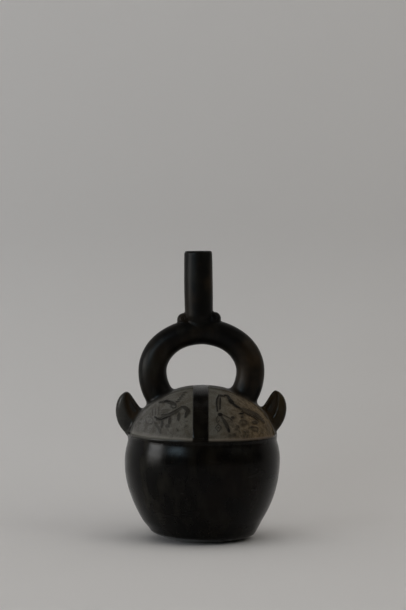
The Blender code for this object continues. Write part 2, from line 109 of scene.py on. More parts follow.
# Fillets: how softly the parts melt into each other
SPOUT_FILLET = 0.0010
HEAD_FILLET = 0.0012
STIRRUP_FILLET = 0.0045
LUG_FILLET = 0.0040

# How fine the skin is, and how it is moved onto the vessel's surface
SKIN_GRID = 0.0021
LONGEST_STEP = 0.002
LEAST_STEEPNESS = 0.3
SEARCH_MARGIN = 0.008
NO_LENGTH = 1e-9

# Faces that lean further than this from the way out of the clay count as folded over
FOLD_FACING = 0.1
FOLD_PASSES = 4

# The photograph's camera, in pixels of 0.8 mm at the vessel's axis
PIXEL = 0.0008
LENS_TO_AXIS = 1700
FRAME_WIDTH = 406
FRAME_HEIGHT = 610
AXIS_COLUMN = 202.4
RESTING_ROW = 538.5
EYE_ROW = 275
SENSOR_HEIGHT = 36.0

# Sockets of a node that mixes two colours
SHARE = 0
FIRST = 6
SECOND = 7
MIXED = 2

# Places that follow from the sizes
GROUND_RADIUS = RIDGE_RADIUS - BAND_LIFT
CROWN_HEIGHT = RIDGE_HEIGHT + CROWN_RISE
DOME_HALF_HEIGHT = 1.205 * CROWN_RISE
DOME_CENTRE = Vector((0, 0, CROWN_HEIGHT - DOME_HALF_HEIGHT))
HOOP_CENTRE = Vector((STIRRUP_OFFSET, 0, CROWN_HEIGHT + STIRRUP_LIFT))
HOOP_TOP = HOOP_CENTRE.z + STIRRUP_RISE
SPOUT_ROOT = Vector((STIRRUP_OFFSET + SPOUT_OFFSET + SPOUT_LEAN, 0, HOOP_TOP))
SPOUT_TOP = Vector((STIRRUP_OFFSET + SPOUT_OFFSET, 0, HOOP_TOP + STIRRUP_CROWN_RADIUS + SPOUT_LENGTH))
BODY_POLE = 0.0550


def unit(vectors):
    """Every row of an array at a length of 1."""
    return vectors / np.maximum(NO_LENGTH, np.linalg.norm(vectors, axis=1))[:, None]


def bezier_point(points, share):
    """The point that lies a share of the way along a Bezier curve of any order."""
    layer = [Vector(point) for point in points]
    while len(layer) > 1:
        layer = [first.lerp(second, share) for first, second in zip(layer, layer[1:])]
    return layer[0]


def bezier(points, steps):
    """Points along a Bezier curve, without its first point."""
    return [bezier_point(points, step / steps) for step in range(1, steps + 1)]


def smooth_route(points, steps):
    """Points of a smooth curve that passes through every given point."""
    given = [Vector(point) for point in points]
    padded = [2 * given[0] - given[1]] + given + [2 * given[-1] - given[-2]]
    route = [given[0]]
    for before, start, end, after in zip(padded, padded[1:], padded[2:], padded[3:]):
        handle_out = start + (end - before) / 6
        handle_in = end - (after - start) / 6
        route += bezier((start, handle_out, handle_in, end), steps)
    return route


def eased(share):
    """A share from 0 to 1 that starts and ends gently."""
    held = np.clip(share, 0.0, 1.0)
    return held * held * (3 - 2 * held)


def ellipse_radius(height, radius, half_height):
    """Radius of the dome's ellipse at a height above its centre."""
    return radius * math.sqrt(max(0.0, 1 - (height / half_height) ** 2))


def dome_outline(radius, half_height, from_height, steps):
    """The dome from a height up to the axis."""
    start = math.asin((from_height - DOME_CENTRE.z) / half_height)
    found = []
    for step in range(1, steps + 1):
        angle = start + (math.pi / 2 - start) * step / steps
        across = radius * math.cos(angle) if step < steps else 0.0
        found.append(Vector((across, DOME_CENTRE.z + half_height * math.sin(angle))))
    return found


def ridge_seat():
    """Where the panels' ground meets the inside of the ridge."""
    height = RIDGE_HEIGHT + 0.3 * RIDGE_BEAD
    return Vector((ellipse_radius(height - DOME_CENTRE.z, GROUND_RADIUS, DOME_HALF_HEIGHT), height))


def body_outline(fineness):
    """Outside of the body as (radius, height) points, from the resting face round to the crown."""
    belly = (BODY_RADIUS, BELLY_HEIGHT)
    edge = (BASE_EDGE_RADIUS, BASE_EDGE_HEIGHT)
    underside = (0.5 * (RESTING_RADIUS + BASE_EDGE_RADIUS), 0.1 * BASE_EDGE_HEIGHT)
    wall_height = BELLY_HEIGHT - BASE_EDGE_HEIGHT
    flare = (
        BASE_EDGE_RADIUS + 0.58 * (BODY_RADIUS - BASE_EDGE_RADIUS),
        BASE_EDGE_HEIGHT + 0.30 * wall_height,
    )
    below_belly = (BODY_RADIUS, BELLY_HEIGHT - 0.40 * wall_height)
    neck = (RIDGE_RADIUS - 0.2 * RIDGE_BEAD, RIDGE_HEIGHT - RIDGE_BEAD)
    above_belly = (BODY_RADIUS, BELLY_HEIGHT + 0.5 * (neck[1] - BELLY_HEIGHT))
    below_neck = (neck[0] + 0.2 * RIDGE_BEAD, neck[1] - 0.25 * (neck[1] - BELLY_HEIGHT))
    ridge_top = (RIDGE_RADIUS + 0.3 * RIDGE_BEAD, RIDGE_HEIGHT)
    outline = [Vector((0, 0))]
    outline += bezier(((0, 0), (RESTING_RADIUS, 0)), 3 * fineness)
    outline += bezier(((RESTING_RADIUS, 0), underside, edge), 4 * fineness)
    outline += bezier((edge, flare, below_belly, belly), 12 * fineness)
    outline += bezier((belly, above_belly, below_neck, neck), 5 * fineness)
    outline += bezier((neck, ridge_top, ridge_seat()), 3 * fineness)
    return outline + dome_outline(GROUND_RADIUS, DOME_HALF_HEIGHT, ridge_seat()[1], 12 * fineness)


def chamber_outline():
    """Hollow inside of the body, one wall thinner all round."""
    wall_height = BELLY_HEIGHT - BASE_EDGE_HEIGHT
    belly = (BODY_RADIUS - WALL, BELLY_HEIGHT)
    floor_edge = (BASE_EDGE_RADIUS - WALL, BASE_EDGE_HEIGHT + FLOOR_WALL)
    flare = (
        floor_edge[0] + 0.7 * (belly[0] - floor_edge[0]),
        floor_edge[1] + 0.25 * wall_height,
    )
    below_belly = (belly[0], BELLY_HEIGHT - 0.35 * wall_height)
    inner_radius = GROUND_RADIUS - WALL
    inner_half_height = DOME_HALF_HEIGHT - WALL
    seat_radius = ellipse_radius(RIDGE_HEIGHT - DOME_CENTRE.z, inner_radius, inner_half_height)
    above_belly = (belly[0], BELLY_HEIGHT + 0.5 * (RIDGE_HEIGHT - BELLY_HEIGHT))
    outline = [Vector((0, FLOOR_WALL))]
    outline += bezier(((0, FLOOR_WALL), (0.7 * floor_edge[0], FLOOR_WALL), floor_edge), 4)
    outline += bezier((floor_edge, flare, below_belly, belly), 6)
    outline += bezier((belly, above_belly, (seat_radius, RIDGE_HEIGHT)), 3)
    return outline + dome_outline(inner_radius, inner_half_height, RIDGE_HEIGHT, 8)


def hoop_point(angle):
    """Middle of the stirrup's tube. Angle 0 is at +X, a quarter turn is the top."""
    rise = STIRRUP_RISE if math.sin(angle) > 0 else STIRRUP_DROP
    return HOOP_CENTRE + Vector((STIRRUP_HALF_SPAN * math.cos(angle), 0, rise * math.sin(angle)))


def hoop_direction(angle):
    """Which way the stirrup's tube runs at an angle."""
    rise = STIRRUP_RISE if math.sin(angle) > 0 else STIRRUP_DROP
    return Vector((-STIRRUP_HALF_SPAN * math.sin(angle), 0, rise * math.cos(angle))).normalized()


def hoop_radius(angle, feet_radius, crown_radius):
    """Radius of the tube, which thins a little towards the top."""
    return feet_radius + (crown_radius - feet_radius) * max(0.0, math.sin(angle)) ** 2


def foot_angle(sink):
    """Angle below the hoop's middle at which its tube has sunk this far under the dome."""
    angle = 0.0
    while angle < math.radians(75):
        middle = hoop_point(-angle) - DOME_CENTRE
        level = math.sqrt((middle.x / GROUND_RADIUS) ** 2 + (middle.z / DOME_HALF_HEIGHT) ** 2)
        if middle.length * (1 / level - 1) > sink:
            break
        angle += math.radians(0.5)
    return angle


def hoop_angles(steps):
    """Angles from the right foot over the top to the left foot."""
    low = foot_angle(FOOT_SINK)
    return [-low + (math.pi + 2 * low) * step / steps for step in range(steps + 1)]


def spout_radius(height):
    """Outer radius of the spout at a height above the hoop's middle line."""
    length = (SPOUT_TOP - SPOUT_ROOT).length
    drawn_in = 1 - eased((height - TONGUE_BOTTOM) / (TONGUE_TOP - TONGUE_BOTTOM))
    swelling = SPOUT_BELLY * np.sin(np.pi * np.clip((height - TONGUE_TOP) / (length - TONGUE_TOP), 0, 1))
    return SPOUT_RADIUS - (SPOUT_RADIUS - SPOUT_ROOT_RADIUS) * drawn_in + swelling


def placed(form, name):
    """Turn a bmesh into an object of the scene."""
    mesh = bpy.data.meshes.new(name)
    form.to_mesh(mesh)
    form.free()
    item = bpy.data.objects.new(name, mesh)
    bpy.context.scene.collection.objects.link(item)
    return item


def closed_form(form, name):
    """Turn a bmesh into a closed object whose faces point outwards."""
    bmesh.ops.remove_doubles(form, verts=form.verts[:], dist=1e-7)
    bmesh.ops.recalc_face_normals(form, faces=form.faces[:])
    return placed(form, name)


def form_of(item):
    """An object's mesh as a bmesh."""
    form = bmesh.new()
    form.from_mesh(item.data)
    return form


def put_back(form, item):
    """Store a changed bmesh in its object."""
    form.to_mesh(item.data)
    form.free()


def thrown(name, outline, segments):
    """Turn an outline from axis to axis about the Z axis, as on a wheel."""
    form = bmesh.new()
    points = [form.verts.new((radius, 0, height)) for radius, height in outline]
    for first, second in zip(points, points[1:]):
        form.edges.new((first, second))
    bmesh.ops.spin(
        form, geom=form.verts[:] + form.edges[:], cent=(0, 0, 0), axis=(0, 0, 1),
        angle=2 * math.pi, steps=segments, use_merge=True,
    )
    return closed_form(form, name)


def rolled(name, sections, segments):
    """A coil of clay through a row of sections, each a matrix that places a circle of radius 1."""
    form = bmesh.new()
    bmesh.ops.create_circle(form, cap_ends=True, segments=segments, radius=1.0, matrix=sections[0])
    edges = [edge for edge in form.edges if edge.is_boundary]
    for before, after in zip(sections, sections[1:]):
        grown = bmesh.ops.extrude_edge_only(form, edges=edges)["geom"]
        corners = [part for part in grown if isinstance(part, bmesh.types.BMVert)]
        edges = [
            part for part in grown
            if isinstance(part, bmesh.types.BMEdge) and all(corner in corners for corner in part.verts)
        ]
        bmesh.ops.transform(form, matrix=after @ before.inverted(), verts=corners)
    bmesh.ops.holes_fill(form, edges=edges, sides=0)
    return closed_form(form, name)


def section(middle, across, depth):
    """A matrix that lays the unit circle's X along across and its Y along depth."""
    normal = across.cross(depth).normalized()
    return Matrix((
        (across.x, depth.x, normal.x, middle.x),
        (across.y, depth.y, normal.y, middle.y),
        (across.z, depth.z, normal.z, middle.z),
        (0, 0, 0, 1),
    ))


def hoop(name, feet_radius, crown_radius, segments, steps):
    """The stirrup's tube or its bore."""
    sections = []
    for angle in hoop_angles(steps):
        radius = hoop_radius(angle, feet_radius, crown_radius)
        outward = Vector((0, 1, 0)).cross(hoop_direction(angle))
        sections.append(section(hoop_point(angle), radius * outward, Vector((0, radius, 0))))
    return rolled(name, sections, segments)


def spout_section(radius, height):
    """A circle across the spout at a height above the hoop's middle line."""
    axis = (SPOUT_TOP - SPOUT_ROOT).normalized()
    return section(SPOUT_ROOT + height * axis, Vector((radius, 0, 0)), Vector((0, radius, 0)))


def spout(name):
    """The upright spout."""
    length = (SPOUT_TOP - SPOUT_ROOT).length
    steps = 30
    sections = []
    for step in range(steps + 1):
        height = -SPOUT_SINK + (length + SPOUT_SINK) * step / steps
        sections.append(spout_section(float(spout_radius(height)), height))
    return rolled(name, sections, segments=48)


def spout_bore(name):
    """The hole down the spout, opened a little at the lip."""
    length = (SPOUT_TOP - SPOUT_ROOT).length
    sections = []
    for height, widening in ((-0.001, 0), (length - 0.0026, 0), (length - 0.0008, 0.0005),
                             (length + 0.0001, 0.0014), (length + 0.002, 0.0018)):
        sections.append(spout_section(SPOUT_BORE_RADIUS + widening, height))
    return rolled(name, sections, segments=40)


def lug_edges(side):
    """Outer and inner edge of a lug in the XZ plane, from its root to its tip."""
    reach = RIDGE_RADIUS + LUG_REACH - side * LUG_SKEW
    inside = reach - LUG_WIDTH
    top = RIDGE_HEIGHT + LUG_RISE + 0.5 * side * LUG_SKEW
    tip = (reach - 0.55 * LUG_WIDTH, top)
    root = (RIDGE_RADIUS - 0.0051 - 3.2 * side * LUG_SKEW, RIDGE_HEIGHT - 0.0030 - side * LUG_SKEW)
    outer_bulge = (reach + 0.0054 + 0.6 * side * LUG_SKEW, RIDGE_HEIGHT + (0.23 + 0.02 * side) * LUG_RISE)
    outer = (root, outer_bulge, (reach + 0.0019, top - 0.0020), tip)
    buried = (inside - 0.0110, RIDGE_HEIGHT + 0.45 * LUG_RISE)
    inner_hollow = (inside - 0.0007, RIDGE_HEIGHT + 0.58 * LUG_RISE)
    inner = (buried, inner_hollow, (inside + 0.0025, top), tip)
    return outer, inner


def lug(name, side):
    """An ear-like lug with a bowl pressed into its front."""
    outer, inner = lug_edges(side)
    steps = 40
    sections = []
    for step in range(steps):
        share = math.sin(0.5 * math.pi * (step + 0.1) / steps)
        outer_point = bezier_point(outer, share)
        inner_point = bezier_point(inner, share)
        middle = 0.5 * (outer_point + inner_point)
        half = 0.5 * (outer_point - inner_point)
        thickness = 0.5 * LUG_THICKNESS * math.sqrt(1 - 0.80 * share ** 4)
        place = Vector((side * middle.x, 0, middle.y))
        sections.append(section(place, Vector((side * half.x, 0, half.y)), Vector((0, thickness, 0))))
    item = rolled(name, sections, segments=56)
    press_bowl(item, side)
    return item


def bowl_share(points, side):
    """How deep each point lies in a lug's front bowl, as a share of the scoop, with a rounded rim left."""
    outer, inner = lug_edges(side)
    shares = np.linspace(0, 0.985, 61)
    outers = np.array([bezier_point(outer, share) for share in shares])
    inners = np.array([bezier_point(inner, share) for share in shares])
    middles = 0.5 * (outers + inners)
    halves = 0.5 * (outers - inners)
    lengths = np.hypot(halves[:, 0], halves[:, 1])
    offset = np.stack((side * points[:, 0], points[:, 2]), 1)[:, None, :] - middles[None]
    along = (offset * halves).sum(2) / lengths ** 2
    apart = np.abs(offset[:, :, 0] * halves[:, 1] - offset[:, :, 1] * halves[:, 0]) / lengths
    nearest = np.argmin(apart + 10 * np.maximum(0, np.abs(along) - 1.02) * lengths, axis=1)
    rows = np.arange(len(points))
    from_rim = 1 - np.minimum(1, np.abs(along[rows, nearest] + BOWL_SHIFT) / BOWL_HALF_WIDTH)
    up_lug = np.sin(np.pi * np.minimum(1, 0.20 + 0.83 * shares[nearest])) ** 0.7
    up_lug *= eased((shares[nearest] - 0.10) / 0.18)
    touching = apart[rows, nearest] < 0.001
    return eased((from_rim - 0.12) / 0.55) * up_lug * (points[:, 1] < 0) * touching


def press_bowl(item, side):
    """Thumb the bowl into a lug's front."""
    points = corners_of(item.data)
    points[:, 1] += LUG_SCOOP * bowl_share(points, side)
    item.data.vertices.foreach_set("co", points.ravel())


def head_middle(side):
    """Middle of a creature's head beside the spout's root."""
    across = SPOUT_ROOT.x + side * (SPOUT_RADIUS + HEAD_SIDE_GAP)
    hoop_share = (across - HOOP_CENTRE.x) / STIRRUP_HALF_SPAN
    tube_top = HOOP_CENTRE.z + STIRRUP_RISE * math.sqrt(1 - hoop_share ** 2) + STIRRUP_CROWN_RADIUS
    return Vector((across, 0, tube_top + HEAD_SEAT))


def head(name, side):
    """A small creature's head: a pellet of clay, wider than it is deep."""
    form = bmesh.new()
    bmesh.ops.create_uvsphere(form, u_segments=40, v_segments=20, radius=HEAD_RADIUS)
    bmesh.ops.scale(form, vec=(1, HEAD_DEPTH_SHARE, 1), verts=form.verts[:])
    bmesh.ops.translate(form, vec=head_middle(side), verts=form.verts[:])
    return closed_form(form, name)


def take_up(item):
    """Keep an object's finished mesh and drop its modifiers."""
    graph = bpy.context.evaluated_depsgraph_get()
    mesh = bpy.data.meshes.new_from_object(item.evaluated_get(graph), depsgraph=graph)
    before = item.data
    item.modifiers.clear()
    item.data = mesh
    bpy.data.meshes.remove(before)


def one_lump(name, pieces):
    """Every piece in one object, each still a closed shape of its own."""
    form = bmesh.new()
    for piece in pieces:
        form.from_mesh(piece.data)
        bpy.data.objects.remove(piece)
    return placed(form, name)


def corners_of(mesh):
    """A mesh's corners as an array of points."""
    flat = np.empty(3 * len(mesh.vertices))
    mesh.vertices.foreach_get("co", flat)
    return flat.reshape(-1, 3)


def body_table():
    """The body's outline by its angle about a pole on the axis: reach, and which way is out."""
    outline = np.array([(point.x, point.y) for point in body_outline(fineness=24)])
    angles = np.arctan2(outline[:, 1] - BODY_POLE, outline[:, 0])
    reaches = np.hypot(outline[:, 0], outline[:, 1] - BODY_POLE)
    run = np.gradient(outline, axis=0)
    run /= np.maximum(1e-12, np.hypot(run[:, 0], run[:, 1]))[:, None]
    return angles, reaches, run[:, 1], -run[:, 0]


def ridge_shift(points):
    """The ridge runs a little higher on the left than on the right."""
    near_ridge = eased(1 - np.abs(points[:, 2] - RIDGE_HEIGHT) / 0.012)
    return -RIDGE_TILT * near_ridge * points[:, 0] / RIDGE_RADIUS


def body_field(points, table):
    """Distance out from the body's surface, and which way is out."""
    across = np.maximum(NO_LENGTH, np.hypot(points[:, 0], points[:, 1]))
    height = points[:, 2] - ridge_shift(points) - BODY_POLE
    angle = np.arctan2(height, across)
    reach = np.hypot(across, height)
    out_across = np.interp(angle, table[0], table[2])
    out_up = np.interp(angle, table[0], table[3])
    slant = out_across * across / reach + out_up * height / reach
    distance = (reach - np.interp(angle, table[0], table[1])) * slant
    turn = np.arctan2(points[:, 1], points[:, 0])
    waver = np.sin(3 * turn + 0.8) * np.sin(70 * points[:, 2] + 1.1)
    waver += 0.6 * np.sin(5 * turn - 150 * points[:, 2])
    distance -= HAND_WAVER * waver * eased(points[:, 2] / 0.02)
    direction = np.stack((out_across * points[:, 0] / across, out_across * points[:, 1] / across, out_up), 1)
    return distance, direction


def hoop_field(points):
    """Distance out from the stirrup's tube, and which way is out."""
    angles = hoop_angles(steps=480)
    middles = np.array([hoop_point(angle) for angle in angles])
    radii = np.array([hoop_radius(angle, STIRRUP_RADIUS, STIRRUP_CROWN_RADIUS) for angle in angles])
    distance = np.full(len(points), 1.0)
    direction = np.zeros((len(points), 3))
    batch = 8000
    for start in range(0, len(points), batch):
        part = points[start:start + batch]
        gap = (part[:, None, 0] - middles[None, :, 0]) ** 2 + (part[:, None, 2] - middles[None, :, 2]) ** 2
        nearest = gap.argmin(1)
        outward = part - middles[nearest]
        length = np.maximum(NO_LENGTH, np.linalg.norm(outward, axis=1))
        waver = 0.5 * HAND_WAVER * np.sin(0.06 * nearest + 2 * np.arctan2(part[:, 1], outward[:, 0]))
        distance[start:start + batch] = length - radii[nearest] - waver
        direction[start:start + batch] = outward / length[:, None]
    return distance, direction


def spout_field(points):
    """Distance out from the spout, with its rounded lip, and which way is out."""
    axis = np.array((SPOUT_TOP - SPOUT_ROOT).normalized())
    length = (SPOUT_TOP - SPOUT_ROOT).length
    spread = points - np.array(SPOUT_ROOT)
    height = spread @ axis
    outward = spread - height[:, None] * axis
    across = np.maximum(NO_LENGTH, np.linalg.norm(outward, axis=1))
    turn = np.arctan2(outward[:, 1], outward[:, 0])
    waver = np.sin(110 * height + 0.7 * turn) * np.sin(2 * turn + 0.4)
    side = across - spout_radius(height) - 0.8 * HAND_WAVER * waver + LIP_ROUND
    top = height - length + LIP_ROUND
    distance = np.hypot(np.maximum(side, 0), np.maximum(top, 0)) - LIP_ROUND
    distance += np.minimum(np.maximum(side, top), 0)
    side_share = np.where(top > 0, np.maximum(side, 0), np.where(side > top, 1.0, 0.0))
    top_share = np.where(side > 0, np.maximum(top, 0), np.where(top >= side, 1.0, 0.0))
    direction = unit(outward / across[:, None] * side_share[:, None] + axis * top_share[:, None])
    bottom = -height - SPOUT_SINK
    below = bottom > distance
    distance = np.where(below, bottom, distance)
    direction[below] = -axis
    return distance, direction


def modelled_field(points, tree, low, high):
    """Distance out from a modelled piece near its box, and which way is out."""
    distance = np.full(len(points), 1.0)
    direction = np.zeros((len(points), 3))
    deepest = 0.5 * LUG_THICKNESS
    near = np.all((points > low - SEARCH_MARGIN) & (points < high + SEARCH_MARGIN), axis=1)
    for index in np.nonzero(near)[0]:
        point = Vector(points[index])
        place, normal, _, gap = tree.find_nearest(point)
        outside = (point - place).dot(normal) >= 0 or gap > deepest
        if gap > 1e-6:
            outward = (point - place) / gap
            direction[index] = outward if outside else -outward
        else:
            direction[index] = normal
        distance[index] = gap if outside else -gap
    return distance, direction


def melted(first, second, softness):
    """Two shapes joined with a soft fillet, and how much of the first is left at each point."""
    share = np.clip(0.5 + 0.5 * (second[0] - first[0]) / softness, 0, 1)
    distance = second[0] + (first[0] - second[0]) * share - softness * share * (1 - share)
    direction = second[1] + (first[1] - second[1]) * share[:, None]
    return (distance, direction), share


def tree_of(item):
    """A search tree over a piece, and its box."""
    form = form_of(item)
    tree = BVHTree.FromBMesh(form)
    form.free()
    points = corners_of(item.data)
    return tree, points.min(0), points.max(0)


def skin_field(points, shapes):
    """Distance out from the whole vessel, which way is out, share of body, and gaps to the parts."""
    whole = body_field(points, shapes["body"])
    hoop_part = hoop_field(points)
    spout_part = spout_field(points)
    stirrup, _ = melted(hoop_part, spout_part, SPOUT_FILLET)
    for tree, low, high in shapes["heads"]:
        stirrup, _ = melted(stirrup, modelled_field(points, tree, low, high), HEAD_FILLET)
    whole, body_share = melted(whole, stirrup, STIRRUP_FILLET)
    lug_gap = np.full(len(points), 1.0)
    for tree, low, high in shapes["lugs"]:
        lug_part = modelled_field(points, tree, low, high)
        whole, share = melted(whole, lug_part, LUG_FILLET)
        body_share = body_share * share
        lug_gap = np.minimum(lug_gap, lug_part[0])
    return whole[0], whole[1], body_share, {"hoop": hoop_part[0], "spout": spout_part[0], "lug": lug_gap}


def settle_skin(points, shapes, rounds):
    """Move points onto the vessel's surface."""
    for _ in range(rounds):
        distance, direction, _, _ = skin_field(points, shapes)
        steepness = np.maximum(LEAST_STEEPNESS, (direction ** 2).sum(1))
        step = np.clip(distance / steepness, -LONGEST_STEP, LONGEST_STEP)
        points = points - step[:, None] * direction
    return points


def on_shoulder(across, up):
    """Front point of the shoulder, given as shares of the ridge's radius and the crown's rise."""
    height = RIDGE_HEIGHT + up * CROWN_RISE - DOME_CENTRE.z
    radius = ellipse_radius(height, GROUND_RADIUS, DOME_HALF_HEIGHT)
    sideways = across * RIDGE_RADIUS
    depth = math.sqrt(max(0.0, radius ** 2 - sideways ** 2))
    return (sideways, -depth, DOME_CENTRE.z + height)


def line(points, width, lift=1.0, taper=0.45):
    """A modelled line of a figure: its route over the shoulder, width, lift and how far its ends narrow."""
    route = np.array([on_shoulder(point.x, point.y) for point in smooth_route(points, 5)])
    return route, width, lift, taper


def ring(across, up, radius, width, lift=1.0):
    """A modelled ring."""
    around = [
        (across + radius * math.cos(turn) / RIDGE_RADIUS, up + 0.85 * radius * math.sin(turn) / CROWN_RISE)
        for turn in [2 * math.pi * step / 8 for step in range(9)]
    ]
    return line(around, width, lift, 0.0)


def dab(across, up, radius, stretch=1.0, lift=1.0):
    """A low rounded lump."""
    reach = max(0.0004, (stretch - 1) * radius) / RIDGE_RADIUS
    return line(((across - reach, up), (across + reach, up)), 2 * radius, lift, 0.0)


def feathers(roots, length, lean, width, lift=1.0):
    """A row of feathers, each hanging from its root."""
    return [line(((across, up), (across + lean, up - length)), width, lift, 0.7) for across, up in roots]


def wing_bird(plain):
    """Left panel: a sea bird with a long raised wing whose feathers hang like a fringe."""
    lines = [
        line(((-0.59, 0.38), (-0.50, 0.42), (-0.41, 0.49), (-0.33, 0.56), (-0.265, 0.63)), 0.0046, 0.8),
        line(((-0.27, 0.632), (-0.23, 0.626), (-0.186, 0.566), (-0.20, 0.51), (-0.215, 0.45)), 0.0038, 0.95),
        line(((-0.56, 0.69), (-0.47, 0.716), (-0.40, 0.70), (-0.345, 0.665)), 0.0040, 0.9),
        dab(-0.488, 0.548, 0.0027, 1.5, 0.45),
    ]
    lines += feathers(((-0.30, 0.53), (-0.417, 0.45), (-0.515, 0.385)), 0.16, -0.005, 0.0030, 0.85)
    return lines if plain else lines + wing_bird_details()


def wing_bird_details():
    """The finer parts of the left panel: edges of the wing, crest, barbs, tail and filling marks."""
    lines = [
        line(((-0.615, 0.42), (-0.54, 0.377), (-0.482, 0.41), (-0.41, 0.45)), 0.0016, 1.2, 0.2),
        line(((-0.534, 0.466), (-0.432, 0.495), (-0.36, 0.545), (-0.274, 0.63)), 0.0010, 1.15, 0.2),
        line(((-0.50, 0.70), (-0.466, 0.72), (-0.42, 0.71)), 0.0022, 1.35, 0.6),
        ring(-0.372, 0.655, 0.0022, 0.0009, 1.1),
        line(((-0.628, 0.335), (-0.568, 0.226), (-0.53, 0.122)), 0.0028, 0.65),
        line(((-0.332, 0.233), (-0.307, 0.18)), 0.0016, 0.55),
        dab(-0.448, 0.268, 0.0017, 1.0, 0.7),
        dab(-0.812, 0.343, 0.0012, 1.0, 0.5),
        dab(-0.833, 0.266, 0.0011, 1.0, 0.5),
        dab(-0.40, 0.045, 0.0013, 1.2, 0.5),
        ring(-0.693, 0.352, 0.0031, 0.0013, 0.55),
        dab(-0.693, 0.352, 0.0011, 1.0, 0.45),
    ]
    for number in range(5):
        share = number / 4
        across = -0.222 - 0.088 * share
        up = 0.895 - 0.16 * share
        lines.append(dab(across, up, 0.0008, 1.0, 0.9))
        lines.append(dab(across - 0.022, up - 0.012, 0.0008, 1.0, 0.9))
    for number in range(3):
        across = -0.655 + 0.043 * number
        up = 0.565 + 0.018 * number
        lines.append(line(((across, up), (across + 0.002, up - 0.12)), 0.0014, 0.75, 0.3))
    for number in range(3):
        up = 0.461 - 0.09 * number
        lines.append(dab(-0.207, up, 0.0010, 1.3, 0.5))
        across = -0.199 + 0.032 * number
        lines.append(line(((across, 0.16), (across, 0.045)), 0.0008, 0.4, 0.3))
    return lines


def fishing_bird(plain):
    """Right panel: a long-necked bird whose long bill hangs down to a fish."""
    lines = [
        line(((0.29, 0.835), (0.325, 0.82), (0.364, 0.74), (0.414, 0.656), (0.48, 0.60)), 0.0034, 1.15, 0.3),
        line(((0.50, 0.585), (0.589, 0.527), (0.70, 0.435), (0.80, 0.30)), 0.0060, 0.85),
        dab(0.235, 0.835, 0.0019),
        line(((0.205, 0.83), (0.185, 0.76), (0.183, 0.658), (0.193, 0.56)), 0.0015, 1.2, 0.2),
        line(((0.229, 0.80), (0.228, 0.74), (0.224, 0.60)), 0.0015, 1.2, 0.2),
        dab(0.228, 0.491, 0.0016, 1.1, 1.3),
        line(((0.244, 0.449), (0.294, 0.341), (0.315, 0.276), (0.34, 0.168)), 0.0036, 0.95),
    ]
    return lines if plain else lines + fishing_bird_details()


def fishing_bird_details():
    """The finer parts of the right panel: wing, thigh and foot, fish and filling marks."""
    lines = [
        line(((0.248, 0.83), (0.27, 0.815), (0.30, 0.838)), 0.0011, 1.1, 0.2),
        line(((0.352, 0.77), (0.375, 0.715), (0.40, 0.675)), 0.0046, 1.35, 0.6),
        line(((0.52, 0.60), (0.60, 0.555), (0.71, 0.465), (0.795, 0.35)), 0.0010, 1.0, 0.3),
        line(((0.505, 0.54), (0.585, 0.475), (0.675, 0.39), (0.735, 0.31)), 0.0012, 1.1, 0.3),
        line(((0.266, 0.49), (0.324, 0.445), (0.377, 0.384), (0.385, 0.33)), 0.0011, 1.0, 0.3),
        line(((0.20, 0.475), (0.176, 0.409), (0.192, 0.345), (0.218, 0.40)), 0.0010, 0.8, 0.3),
        line(((0.262, 0.40), (0.35, 0.335), (0.40, 0.27)), 0.0040, 0.5, 0.3),
        line(((0.328, 0.22), (0.342, 0.168)), 0.0026, 1.3, 0.3),
        line(((0.477, 0.50), (0.529, 0.492)), 0.0016, 1.1, 0.4),
        dab(0.513, 0.442, 0.0013, 1.2, 0.8),
        line(((0.482, 0.335), (0.50, 0.365), (0.545, 0.366), (0.585, 0.33)), 0.0018, 0.75, 0.3),
        line(((0.49, 0.325), (0.57, 0.315)), 0.0044, 0.55, 0.3),
        line(((0.644, 0.316), (0.719, 0.305)), 0.0034, 0.8, 0.5),
        line(((0.606, 0.221), (0.66, 0.225), (0.717, 0.195), (0.709, 0.122)), 0.0020, 0.8, 0.3),
        line(((0.63, 0.20), (0.69, 0.16)), 0.0036, 0.6, 0.3),
        dab(0.392, 0.431, 0.0013, 1.0, 0.9),
        dab(0.453, 0.257, 0.0014, 1.2, 0.7),
        dab(0.438, 0.205, 0.0013, 1.0, 0.7),
        dab(0.583, 0.16, 0.0013, 1.0, 0.7),
        dab(0.408, 0.099, 0.0014, 1.3, 0.6),
        dab(0.351, 0.092, 0.0013, 1.2, 0.6),
        line(((0.755, 0.10), (0.80, 0.088)), 0.0009, 0.8, 0.3),
    ]
    lines += diamond(0.204, 0.249, 0.0024)
    lines += [line(((0.535 + 0.047 * number, 0.09), (0.535 + 0.047 * number, 0.04)), 0.0011, 0.9, 0.3)
              for number in range(2)]
    lines += feathers(((0.465, 0.195), (0.53, 0.18)), 0.07, 0.03, 0.0013, 0.8)
    return lines


def diamond(across, up, reach):
    """A small shell, drawn as a square on its corner with a pellet in it."""
    wide = reach / RIDGE_RADIUS
    tall = 1.2 * reach / CROWN_RISE
    corners = ((across + wide, up), (across, up + tall), (across - wide, up), (across, up - tall))
    sides = [line((start, end), 0.0009, 0.9, 0.0) for start, end in zip(corners, corners[1:] + corners[:1])]
    return sides + [dab(across, up, 0.0007, 1.0, 0.9)]


